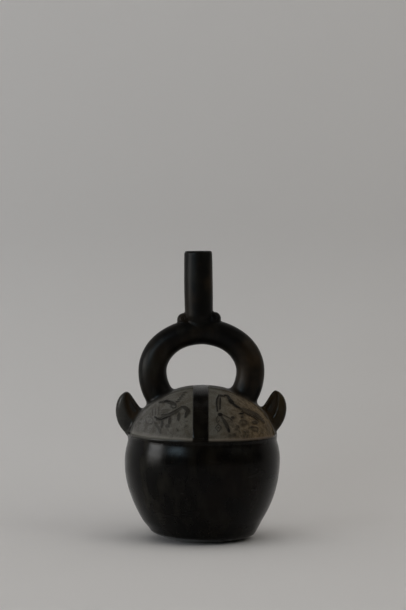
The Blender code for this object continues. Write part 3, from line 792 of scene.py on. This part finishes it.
def raised_by(points, lines):
    """How far each point is raised by the lines of the figures, as a share of the full lift."""
    height = np.zeros(len(points))
    for route, width, lift, taper in lines:
        low = route.min(0) - width
        high = route.max(0) + width
        near = np.nonzero(np.all((points > low) & (points < high), axis=1))[0]
        if len(near) == 0:
            continue
        part = points[near]
        gap = np.full(len(near), 1.0)
        along = np.zeros(len(near))
        last = len(route) - 1
        for number, (start, end) in enumerate(zip(route, route[1:])):
            run = end - start
            share = np.clip((part - start) @ run / (run @ run), 0, 1)
            away = np.linalg.norm(part - start - share[:, None] * run, axis=1)
            closer = away < gap
            gap = np.where(closer, away, gap)
            along = np.where(closer, (number + share) / last, along)
        from_end = np.minimum(along, 1 - along) / 0.25
        half = 0.5 * width * (1 - taper * (1 - np.minimum(1, from_end)))
        rise = lift * eased((half - gap) / SLOPE_WIDTH + 0.5)
        height[near] = np.maximum(height[near], rise)
    return height


def pulled_to_ground(points):
    """Points of the shoulder moved along their rays from the dome's middle onto the panels' ground."""
    middle = np.array(DOME_CENTRE)
    spread = points - middle
    level = np.sqrt((spread[:, 0] ** 2 + spread[:, 1] ** 2) / GROUND_RADIUS ** 2
                    + (spread[:, 2] / DOME_HALF_HEIGHT) ** 2)
    return middle + spread / np.maximum(0.2, level)[:, None]


def panel_marks(points):
    """Shares of plain band, of the part of it that dust covers, and of raised figure at each point."""
    points = pulled_to_ground(points)
    cross = eased((CROSS_BAND_HALF_WIDTH - np.abs(points[:, 1])) / 0.0008 + 0.5)
    upright = eased((0.5 * BAND_WIDTH - np.abs(points[:, 0] - BAND_OFFSET)) / 0.0008 + 0.5)
    band = np.maximum(cross, upright)
    front = points[:, 1] < 0
    figure = np.zeros(len(points))
    figure[front] = raised_by(points[front], wing_bird(False) + fishing_bird(False))
    turned = points[~front] * np.array((-1, -1, 1))
    figure[~front] = BACK_RELIEF_LIFT / RELIEF_LIFT * raised_by(turned, wing_bird(True) + fishing_bird(True))
    return band, cross * (1 - upright), figure


def on_dome(points):
    """Share of a point that lies above the ridge."""
    return eased((points[:, 2] - ridge_shift(points) - ridge_seat()[1]) / 0.0004 + 0.5)


def eye_middle(side):
    """Middle of the front ring eye of a creature's head."""
    outward = Vector((0.10 * side, -1, 0.22)).normalized()
    return head_middle(side) + HEAD_RADIUS * Vector((outward.x, HEAD_DEPTH_SHARE * outward.y, outward.z))


def small_carving(points, gaps):
    """Height of the small modelled details on the stirrup: ring eyes and the seam round the tongue."""
    height = np.zeros(len(points))
    for side in (-1, 1):
        for turned in (1, -1):
            place = np.array(eye_middle(side)) * np.array((1, turned, 1))
            gap = np.linalg.norm(points - place, axis=1)
            height += PELLET_LIFT * np.exp(-(gap / (0.7 * EYE_PELLET)) ** 2)
            height -= RING_GROOVE * np.exp(-((gap - 0.62 * EYE_RING) / RING_LINE) ** 2)
            height += RING_LIFT * np.exp(-((gap - 1.15 * EYE_RING) / RING_LINE) ** 2)
    seam = gaps["spout"] - gaps["hoop"]
    on_seam = np.exp(-(gaps["spout"] / 0.0008) ** 2)
    height += 0.00035 * np.exp(-((seam + 0.0004) / 0.0005) ** 2) * on_seam
    height -= 0.00030 * np.exp(-((seam - 0.0008) / 0.0004) ** 2) * on_seam
    return height


def refined(item, inside, times):
    """Divide in two, as often as asked, the edges whose two ends pass a test."""
    for _ in range(times):
        form = form_of(item)
        chosen = inside(corners_of(item.data))
        form.verts.ensure_lookup_table()
        edges = [
            edge for edge in form.edges if chosen[edge.verts[0].index] and chosen[edge.verts[1].index]
        ]
        bmesh.ops.subdivide_edges(form, edges=edges, cuts=1, use_grid_fill=True)
        put_back(form, item)


def on_upper_body(points):
    """The shoulder, the lugs and the stirrup's feet."""
    return (points[:, 2] > RIDGE_HEIGHT - 0.004) & (points[:, 2] < CROWN_HEIGHT + 0.004)


def on_front_panels(points):
    """The front of the shoulder, where the figures are finest."""
    height = (points[:, 2] > RIDGE_HEIGHT - 0.003) & (points[:, 2] < CROWN_HEIGHT)
    return height & (points[:, 1] < 0.001) & (np.abs(points[:, 0]) < RIDGE_RADIUS)


def round_spout_root(points):
    """The stirrup's crown and the spout's root."""
    across = np.abs(points[:, 0] - SPOUT_ROOT.x)
    up = points[:, 2] - SPOUT_ROOT.z
    return (across < 0.022) & (up > 0) & (up < 0.019)


def on_heads_and_tongue(points):
    """The creatures' heads and the tongue that the spout's root forms, from the front."""
    across = np.abs(points[:, 0] - SPOUT_ROOT.x)
    up = points[:, 2] - SPOUT_ROOT.z
    return (across < 0.0185) & (points[:, 1] < -0.001) & (up > 0.001) & (up < 0.0165)


def without_bubbles(item):
    """Drop the small closed bubbles that the remesh leaves inside the clay."""
    form = form_of(item)
    unseen = set(form.verts)
    islands = []
    while unseen:
        island = {unseen.pop()}
        waiting = list(island)
        while waiting:
            corner = waiting.pop()
            for edge in corner.link_edges:
                other = edge.other_vert(corner)
                if other in unseen:
                    unseen.remove(other)
                    island.add(other)
                    waiting.append(other)
        islands.append(island)
    islands.sort(key=len)
    bubbles = [corner for island in islands[:-1] for corner in island]
    bmesh.ops.delete(form, geom=bubbles, context="VERTS")
    put_back(form, item)


def ease_folds(skin, shapes):
    """Smooth round the few small faces that fold over where forms meet."""
    form = form_of(skin)
    form.normal_update()
    form.faces.ensure_lookup_table()
    middles = np.array([face.calc_center_median() for face in form.faces])
    normals = np.array([face.normal for face in form.faces])
    facing = (unit(skin_field(middles, shapes)[1]) * normals).sum(1)
    folded = [form.faces[place] for place in np.nonzero(facing < FOLD_FACING)[0]]
    corners = {corner for face in folded for corner in face.verts}
    corners |= {edge.other_vert(corner) for corner in corners for edge in corner.link_edges}
    corners = sorted(corners, key=lambda corner: corner.index)
    for _ in range(FOLD_PASSES):
        bmesh.ops.smooth_vert(
            form, verts=corners, factor=0.5, use_axis_x=True, use_axis_y=True, use_axis_z=True)
    put_back(form, skin)


def skew_underside(points):
    """The underside was pressed flat a little unevenly, so that its edge is lower at +X."""
    reach = 3 * BASE_EDGE_HEIGHT
    outward = np.hypot(points[:, 0], points[:, 1]) - RESTING_RADIUS
    share = np.clip(outward / (BASE_EDGE_RADIUS - RESTING_RADIUS), 0, 1)
    share *= np.clip(2 * (1 - points[:, 2] / reach), 0, 1)
    moved = points.copy()
    moved[:, 2] -= BASE_EDGE_SKEW * share * points[:, 0] / BASE_EDGE_RADIUS
    return moved


def vessel_skin():
    """The outside of the vessel as one surface."""
    lugs = [lug("left_lug_form", -1), lug("right_lug_form", 1)]
    heads = [head("left_head_form", -1), head("right_head_form", 1)]
    shapes = {
        "body": body_table(),
        "heads": [tree_of(item) for item in heads],
        "lugs": [tree_of(item) for item in lugs],
    }
    pieces = [
        thrown("body_form", body_outline(fineness=3), segments=96),
        hoop("hoop_form", STIRRUP_RADIUS, STIRRUP_CROWN_RADIUS, segments=40, steps=80),
        spout("spout_form"),
    ]
    skin = one_lump("vessel_clay", pieces + lugs + heads)
    remesh = skin.modifiers.new("one_skin", "REMESH")
    remesh.mode = "VOXEL"
    remesh.voxel_size = SKIN_GRID
    take_up(skin)
    without_bubbles(skin)
    refined(skin, on_upper_body, times=1)
    refined(skin, on_front_panels, times=1)
    refined(skin, round_spout_root, times=1)
    refined(skin, on_heads_and_tongue, times=2)
    points = settle_skin(corners_of(skin.data), shapes, rounds=5)
    _, direction, body_share, gaps = skin_field(points, shapes)
    band, _, figure = panel_marks(points)
    lift = np.maximum(BAND_LIFT * band, RELIEF_LIFT * figure * (1 - band))
    lift = lift * on_dome(points) * body_share ** 2
    lift += small_carving(points, gaps) * (1 - body_share)
    points = skew_underside(points + lift[:, None] * unit(direction))
    skin.data.vertices.foreach_set("co", points.ravel())
    skin.data.update()
    ease_folds(skin, shapes)
    return skin, shapes


def hollow_out(skin):
    """Cut the chamber, the stirrup's bore and the spout's bore out of the skin."""
    hollow = thrown("hollow", chamber_outline(), segments=64)
    feet_radius = STIRRUP_RADIUS - STIRRUP_WALL
    crown_radius = STIRRUP_CROWN_RADIUS - STIRRUP_WALL
    cut(hollow, hoop("stirrup_bore", feet_radius, crown_radius, segments=24, steps=40), "UNION")
    cut(hollow, spout_bore("spout_bore"), "UNION")
    cut(skin, hollow, "DIFFERENCE")


def cut(item, tool, operation):
    """Join or cut one closed object with another, then drop the tool."""
    modifier = item.modifiers.new(operation.lower(), "BOOLEAN")
    modifier.operation = operation
    modifier.solver = "MANIFOLD"
    modifier.object = tool
    take_up(item)
    bpy.data.objects.remove(tool)


def mark_finish(skin, shapes):
    """Store on the mesh where the clay is matt ground, darker near the joints as painted shade, raised
    figure, ridge edge worn and painted as a highlight, lug or stirrup.
    """
    points = corners_of(skin.data)
    distance, _, body_share, gaps = skin_field(points, shapes)
    outside = eased((distance + 0.0016) / 0.0004)
    dome = on_dome(points) * body_share ** 2 * outside
    band, dusty, figure = panel_marks(points)
    on_lug = 1 - eased((gaps["lug"] - 0.001) / 0.003)
    # Painted shade: the panels' ground keeps less dust, so it is darker, near the stirrup's feet and the
    # lugs, where shade falls between the parts
    painted_joint_shade = np.exp(-np.minimum(gaps["hoop"], gaps["lug"]) / 0.0025)
    above = points[:, 2] - ridge_shift(points) - RIDGE_HEIGHT
    leftwards = np.clip(-points[:, 0] / RIDGE_RADIUS, 0, 1)
    # The pale line along the ridge's top is partly worn clay and partly painted highlight, and is wider on
    # the left, towards the window
    wear_and_highlight = (above - 0.0006 - 0.0009 * leftwards) / (0.0009 + 0.0013 * leftwards)
    marks = {
        "panel_ground": dome * (1 - band + 0.6 * dusty) * (1 - 0.6 * painted_joint_shade),
        "panel_figure": dome * (1 - band) * np.clip(figure / STRONGEST_LINE, 0, 1),
        "ridge_wear_and_highlight": np.exp(-wear_and_highlight ** 2) * (1 - band * (points[:, 1] < 0)) * outside,
        "lug_bowl": (bowl_share(points, -1) + bowl_share(points, 1)) * (1 - body_share),
        "lug_rim": (1 - body_share) * outside * on_lug,
        "stirrup_share": (1 - body_share) * outside * (1 - on_lug),
    }
    for name, values in marks.items():
        attribute = skin.data.attributes.new(name, "FLOAT", "POINT")
        attribute.data.foreach_set("value", values.astype(np.float32))


def linear(hex_colour):
    """An sRGB hex colour as linear red, green, blue and full alpha."""
    found = []
    for place in (1, 3, 5):
        part = int(hex_colour[place:place + 2], 16) / 255
        found.append(part / 12.92 if part <= 0.04045 else ((part + 0.055) / 1.055) ** 2.4)
    return (*found, 1.0)


def add_node(tree, kind, inputs, output=0):
    """Add a node and give one of its outputs.

    The inputs are its own properties, values for its inputs, or the sockets that feed them.
    """
    node = tree.nodes.new(kind)
    for name, value in inputs.items():
        if isinstance(value, bpy.types.NodeSocket):
            tree.links.new(value, node.inputs[name])
        elif isinstance(name, str) and hasattr(node, name):
            setattr(node, name, value)
        else:
            node.inputs[name].default_value = value
    return node.outputs[output]


def clay_and_painted_light(tree, place, across, marks):
    """Colour of the smoke-blackened clay, with fire clouding, soot smears, paler brown in the lugs' bowls,
    and painted light: warm reflection on the right, window light and streaky reflection on the left, and
    window light and highlights on the lugs' rims.
    """
    # Fire clouding: brown patches 10 to 30 mm across where less smoke reached, stronger on the right, where
    # the brown also paints the warm reflection of the room on that side
    clouds = add_node(tree, "ShaderNodeTexNoise", {"Vector": place, "Scale": 42.0, "Detail": 3.0})
    patches = add_node(tree, "ShaderNodeMapRange", {"Value": clouds, "From Min": 0.46, "From Max": 0.66})
    rightwards = add_node(
        tree, "ShaderNodeMapRange", {"Value": across, "From Min": -0.03, "From Max": 0.02, "To Min": 0.35})
    up_stirrup = add_node(tree, "ShaderNodeMapRange", {"Value": marks["stirrup_share"], "To Min": 0.15})
    on_side = add_node(tree, "ShaderNodeMath", {"operation": "MULTIPLY", 0: patches, 1: rightwards})
    brown = add_node(tree, "ShaderNodeMath", {"operation": "MULTIPLY", 0: on_side, 1: up_stirrup})
    clay = add_node(
        tree, "ShaderNodeMix",
        {"data_type": "RGBA", SHARE: brown, FIRST: linear("#070605"), SECOND: linear("#271E13")}, MIXED)

    # Soot mottling: upright smears 8 to 20 mm long, painted paler towards the window on the left, where they
    # stand for the window's light and its streaky reflection
    smear_place = add_node(tree, "ShaderNodeMapping", {"Vector": place, "Scale": (110.0, 110.0, 45.0)})
    smears = add_node(tree, "ShaderNodeTexNoise", {"Vector": smear_place, "Scale": 1.0, "Detail": 4.0})
    leftwards = add_node(
        tree, "ShaderNodeMapRange",
        {"Value": across, "From Min": -0.045, "From Max": 0.0, "To Min": 0.9, "To Max": 0.3})
    smear_and_window_light = add_node(
        tree, "ShaderNodeMapRange",
        {"Value": smears, "From Min": 0.48, "From Max": 0.72, "To Max": leftwards})
    clay = add_node(
        tree, "ShaderNodeMix",
        {"data_type": "RGBA", SHARE: smear_and_window_light, FIRST: clay, SECOND: linear("#24221C")}, MIXED)

    # Lugs' rims, paler in patches, partly worn and partly painted light: grey on the left lug for the
    # window's light and highlights, brown on the right
    wear_and_highlight = add_node(
        tree, "ShaderNodeMapRange", {"Value": smears, "From Min": 0.35, "From Max": 0.65, "To Min": 0.45})
    on_rim = add_node(tree, "ShaderNodeMath", {"operation": "MULTIPLY", 0: wear_and_highlight, 1: marks["lug_rim"]})
    lug_side = add_node(tree, "ShaderNodeMapRange", {"Value": across, "From Min": -0.02, "From Max": 0.02})
    lug_rim_wear_and_light = add_node(
        tree, "ShaderNodeMix",
        {"data_type": "RGBA", SHARE: lug_side, FIRST: linear("#3B3A37"), SECOND: linear("#2E2618")}, MIXED)
    clay = add_node(
        tree, "ShaderNodeMix", {"data_type": "RGBA", SHARE: on_rim, FIRST: clay, SECOND: lug_rim_wear_and_light}, MIXED)

    # Bowls of the lugs, painted a paler brown
    in_bowl = add_node(
        tree, "ShaderNodeMapRange",
        {"Value": marks["lug_bowl"], "From Min": 0.05, "From Max": 0.5, "To Max": 0.85})
    return add_node(
        tree, "ShaderNodeMix",
        {"data_type": "RGBA", SHARE: in_bowl, FIRST: clay, SECOND: linear("#30261A")}, MIXED)


def panel_dust_and_painted_light(tree, place, across, stipple):
    """Colour of the panels' matt ground: dust on grey clay, paler on the left, and browner on the right,
    where it is painted paler to make up for the window's light falling off.
    """
    middle = add_node(tree, "ShaderNodeMapRange", {"Value": across, "From Min": -0.045, "From Max": -0.012})
    right = add_node(tree, "ShaderNodeMapRange", {"Value": across, "From Min": 0.010, "From Max": 0.040})
    grey = add_node(
        tree, "ShaderNodeMix",
        {"data_type": "RGBA", SHARE: middle, FIRST: linear("#6E6C69"), SECOND: linear("#5B5952")}, MIXED)
    dust = add_node(
        tree, "ShaderNodeMix",
        {"data_type": "RGBA", SHARE: right, FIRST: grey, SECOND: linear("#6C5D48")}, MIXED)

    # Stains about 8 mm across, then worn marks about 3 mm across, which are mostly on the right
    stains = add_node(tree, "ShaderNodeTexNoise", {"Vector": place, "Scale": 130.0, "Detail": 4.0})
    wear = add_node(tree, "ShaderNodeTexNoise", {"Vector": place, "Scale": 330.0, "Detail": 2.0})
    rightwards = add_node(
        tree, "ShaderNodeMapRange",
        {"Value": across, "From Min": 0.012, "From Max": 0.030, "To Min": 0.15, "To Max": 0.65})

    # Each darkens the dust where its grain is strong, and so do the pits of the mould's stipple
    for grain, weak, strong, most, colour in (
            (stains, 0.42, 0.68, 0.6, "#3D372C"),
            (wear, 0.42, 0.66, rightwards, "#342A1C"),
            (stipple, 0.48, 0.72, 0.6, "#2E2A24")):
        amount = add_node(
            tree, "ShaderNodeMapRange",
            {"Value": grain, "From Min": weak, "From Max": strong, "To Max": most})
        dust = add_node(
            tree, "ShaderNodeMix",
            {"data_type": "RGBA", SHARE: amount, FIRST: dust, SECOND: linear(colour)}, MIXED)
    return dust


def rubbed_and_highlit_colour(tree, across, colour, marks):
    """The colour with its dust rubbed off the raised figures, and a pale line along the ridge that is partly
    black rubbed off and partly painted highlight.
    """
    on_figure = add_node(
        tree, "ShaderNodeMapRange", {"Value": marks["panel_figure"], "From Min": 0.12, "From Max": 0.85})
    bare = add_node(
        tree, "ShaderNodeMix",
        {"data_type": "RGBA", SHARE: on_figure, FIRST: colour, SECOND: linear("#14110D")}, MIXED)
    # Painted highlight along the ridge, partly worn clay: pale grey on the left, brown on the right
    right = add_node(tree, "ShaderNodeMapRange", {"Value": across, "From Min": -0.02, "From Max": 0.04})
    worn_and_highlit_ridge_colour = add_node(
        tree, "ShaderNodeMix",
        {"data_type": "RGBA", SHARE: right, FIRST: linear("#87847C"), SECOND: linear("#6F5F4E")}, MIXED)
    on_ridge = add_node(tree, "ShaderNodeMath", {"operation": "MULTIPLY", 0: marks["ridge_wear_and_highlight"], 1: 0.5})
    return add_node(
        tree, "ShaderNodeMix", {"data_type": "RGBA", SHARE: on_ridge, FIRST: bare, SECOND: worn_and_highlit_ridge_colour}, MIXED)


def dulled_shine(tree, strokes, marks):
    """Roughness: burnished body, duller stirrup, and matt dust in the lugs' bowls and the panels."""
    roughness = add_node(
        tree, "ShaderNodeMapRange",
        {"Value": strokes, "From Min": 0.3, "From Max": 0.7, "To Min": 0.18, "To Max": 0.28})
    duller = {"stirrup_share": 0.40, "lug_bowl": 0.6, "panel_ground": 0.9, "panel_figure": 0.5}
    for name, value in duller.items():
        roughness = add_node(
            tree, "ShaderNodeMix", {"data_type": "FLOAT", 0: marks[name], 2: roughness, 3: value})
    return roughness


def blackware():
    """Reduction-fired earthenware: burnished to a soft shine, matt and dusty in the moulded panels."""
    material = bpy.data.materials.new("burnished_blackware")
    material.use_nodes = True
    tree = material.node_tree
    shader = tree.nodes["Principled BSDF"]
    place = add_node(tree, "ShaderNodeTexCoord", {}, "Object")
    across = add_node(tree, "ShaderNodeSeparateXYZ", {"Vector": place}, "X")
    marks = {}
    for name in ("panel_ground", "panel_figure", "ridge_wear_and_highlight", "lug_rim", "lug_bowl", "stirrup_share"):
        marks[name] = add_node(tree, "ShaderNodeAttribute", {"attribute_name": name}, "Fac")

    # Stipple of the mould, drawn 1 mm wide, and pebble strokes 7 mm high that run round the body
    stipple = add_node(
        tree, "ShaderNodeTexNoise", {"Vector": place, "Scale": 1100.0, "Detail": 2.0, "Roughness": 0.6})
    stroke_place = add_node(tree, "ShaderNodeMapping", {"Vector": place, "Scale": (50.0, 50.0, 150.0)})
    strokes = add_node(tree, "ShaderNodeTexNoise", {"Vector": stroke_place, "Scale": 1.0, "Detail": 1.0})

    clay = clay_and_painted_light(tree, place, across, marks)
    dust = panel_dust_and_painted_light(tree, place, across, stipple)
    colour = add_node(
        tree, "ShaderNodeMix",
        {"data_type": "RGBA", SHARE: marks["panel_ground"], FIRST: clay, SECOND: dust}, MIXED)
    tree.links.new(rubbed_and_highlit_colour(tree, across, colour, marks), shader.inputs["Base Color"])
    tree.links.new(dulled_shine(tree, strokes, marks), shader.inputs["Roughness"])

    # The surface: faint burnish strokes on the shiny parts, pits of the stipple in the panels
    stroke_bump = add_node(
        tree, "ShaderNodeBump", {"Height": strokes, "Strength": 0.3, "Distance": 0.0004}, "Normal")
    pit_strength = add_node(
        tree, "ShaderNodeMath", {"operation": "MULTIPLY", 0: marks["panel_ground"], 1: 0.8})
    pit_bump = add_node(
        tree, "ShaderNodeBump",
        {"Height": stipple, "Strength": pit_strength, "Distance": 0.0005, "Normal": stroke_bump}, "Normal")
    tree.links.new(pit_bump, shader.inputs["Normal"])
    shader.inputs["IOR"].default_value = 1.45
    shader.inputs["Specular IOR Level"].default_value = 0.10
    shader.inputs["Sheen Weight"].default_value = 0.12
    shader.inputs["Sheen Roughness"].default_value = 0.30
    return material


def sweep_card():
    """Matt pale grey card, clear from behind so that it doesn't hide the vessel's back."""
    material = bpy.data.materials.new("pale_sweep_card")
    material.use_nodes = True
    tree = material.node_tree
    shader = tree.nodes["Principled BSDF"]
    shader.inputs["Base Color"].default_value = linear("#D9D7D6")
    shader.inputs["Roughness"].default_value = 0.95
    shader.inputs["Specular IOR Level"].default_value = 0.1
    behind = add_node(tree, "ShaderNodeNewGeometry", {}, "Backfacing")
    clear = add_node(tree, "ShaderNodeBsdfTransparent", {})
    card = add_node(tree, "ShaderNodeMixShader", {0: behind, 1: shader.outputs["BSDF"], 2: clear})
    tree.links.new(card, tree.nodes["Material Output"].inputs["Surface"])
    return material


def sweep_board():
    """The card's sheet, which lies flat under the vessel and curves up behind it."""
    curve_start = 0.06
    curve_radius = 0.26
    front = -2.4
    top = 2.2
    half_width = 2.2
    steps = 24
    form = bmesh.new()
    outline = [(front, 0.0), (curve_start, 0.0)]
    for step in range(1, steps + 1):
        angle = 0.5 * math.pi * step / steps
        outline.append((
            curve_start + curve_radius * math.sin(angle), curve_radius * (1 - math.cos(angle)),
        ))
    outline.append((curve_start + curve_radius, top))
    corners = [form.verts.new((-half_width, depth, height)) for depth, height in outline]
    edges = [form.edges.new(pair) for pair in zip(corners, corners[1:])]
    grown = bmesh.ops.extrude_edge_only(form, edges=edges)["geom"]
    moved = [part for part in grown if isinstance(part, bmesh.types.BMVert)]
    bmesh.ops.translate(form, vec=(2 * half_width, 0, 0), verts=moved)
    bmesh.ops.recalc_face_normals(form, faces=form.faces[:])
    if sum(face.normal.z for face in form.faces) < 0:
        bmesh.ops.reverse_faces(form, faces=form.faces[:])
    item = placed(form, "sweep")
    item.data.shade_smooth()
    item.data.materials.append(sweep_card())


def area_light(name, place, target, size, power, colour, lights_up=True, shines=True):
    """A soft rectangular light that faces a target. It lights what it faces, shows in the shine, or both."""
    data = bpy.data.lights.new(name, "AREA")
    data.shape = "RECTANGLE"
    data.size, data.size_y = size
    data.energy = power
    data.color = colour
    item = bpy.data.objects.new(name, data)
    item.location = place
    item.rotation_euler = (Vector(target) - Vector(place)).to_track_quat("-Z", "Y").to_euler()
    item.visible_diffuse = lights_up
    item.visible_glossy = shines
    bpy.context.scene.collection.objects.link(item)


def dim_room():
    """The dim light of the room. Past the card's edges the eye meets pale walls, which give no light."""
    world = bpy.data.worlds.new("dim_room")
    world.use_nodes = True
    tree = world.node_tree
    background = tree.nodes["Background"]
    background.inputs["Color"].default_value = (0.060, 0.056, 0.050, 1.0)
    background.inputs["Strength"].default_value = 1.0
    walls = add_node(tree, "ShaderNodeBackground", {"Color": (0.36, 0.355, 0.345, 1.0)})
    seen = add_node(tree, "ShaderNodeLightPath", {}, "Is Camera Ray")
    room = add_node(
        tree, "ShaderNodeMixShader", {0: seen, 1: background.outputs["Background"], 2: walls})
    tree.links.new(room, tree.nodes["World Output"].inputs["Surface"])
    bpy.context.scene.world = world


def lights():
    """A cool window on the left, a dim warm room on the right and a broad soft light above."""
    middle = (0, 0, 0.09)
    window_white = (0.95, 0.98, 1.0)
    pane_blue = (0.85, 0.93, 1.0)
    table_warm = (1.0, 0.97, 0.92)
    sky_blue = (0.64, 0.85, 1.0)
    ceiling_white = (1.0, 0.99, 0.97)
    wall_warm = (1.0, 0.98, 0.90)
    area_light("near_pane", (-1.75, -0.45, 0.30), middle, (0.55, 0.9), 5.5, window_white, shines=False)
    area_light("far_pane", (-1.00, -1.25, 0.46), middle, (0.60, 0.50), 3.0, pane_blue, shines=False)
    area_light("near_glint", (-1.70, -0.47, 0.50), middle, (0.74, 0.38), 7.6, window_white, lights_up=False)
    area_light("low_glint", (-1.72, -0.46, 0.28), middle, (0.66, 0.86), 8.6, table_warm, lights_up=False)
    area_light("far_glint", (-1.04, -1.18, 0.71), middle, (0.56, 0.28), 8.2, sky_blue, lights_up=False)
    area_light(
        "ceiling_glow", (0, -0.45, 1.70), (0, 0.15, 0.1), (2.4, 1.6), 13.0, ceiling_white, shines=False)
    area_light("room_bounce", (1.55, -0.75, 1.25), (0.1, 0.3, 0.2), (1.4, 0.9), 4.4, wall_warm)


def camera():
    """The photograph's viewpoint: a long lens a little above the vessel's middle, looking down a degree."""
    data = bpy.data.cameras.new("photo_view")
    data.sensor_fit = "VERTICAL"
    data.sensor_height = SENSOR_HEIGHT
    data.lens = SENSOR_HEIGHT * LENS_TO_AXIS / FRAME_HEIGHT
    item = bpy.data.objects.new("photo_view", data)
    aside = 0.5 * FRAME_WIDTH - AXIS_COLUMN
    item.location = (aside * PIXEL, -LENS_TO_AXIS * PIXEL, (RESTING_ROW - EYE_ROW) * PIXEL)
    tilt = math.atan((0.5 * FRAME_HEIGHT - EYE_ROW) / LENS_TO_AXIS)
    item.rotation_euler = (math.radians(90) - tilt, 0, 0)
    bpy.context.scene.collection.objects.link(item)
    bpy.context.scene.camera = item


def vessel():
    """The finished vessel, riding where the solid is."""
    skin, shapes = vessel_skin()
    hollow_out(skin)
    mark_finish(skin, shapes)
    skin.data.shade_smooth()
    skin.data.set_sharp_from_angle(angle=math.radians(60))
    skin.data.materials.clear()
    skin.data.materials.append(blackware())
    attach(skin, "root")
    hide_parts(NODE)


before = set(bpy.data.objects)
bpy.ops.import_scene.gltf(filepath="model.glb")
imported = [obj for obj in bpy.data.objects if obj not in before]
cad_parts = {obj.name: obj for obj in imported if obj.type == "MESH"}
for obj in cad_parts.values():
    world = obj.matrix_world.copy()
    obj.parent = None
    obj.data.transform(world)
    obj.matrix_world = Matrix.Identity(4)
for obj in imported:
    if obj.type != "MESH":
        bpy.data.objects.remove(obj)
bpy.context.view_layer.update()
vessel()
sweep_board()
dim_room()
lights()
camera()
bpy.context.scene.view_settings.view_transform = "Standard"
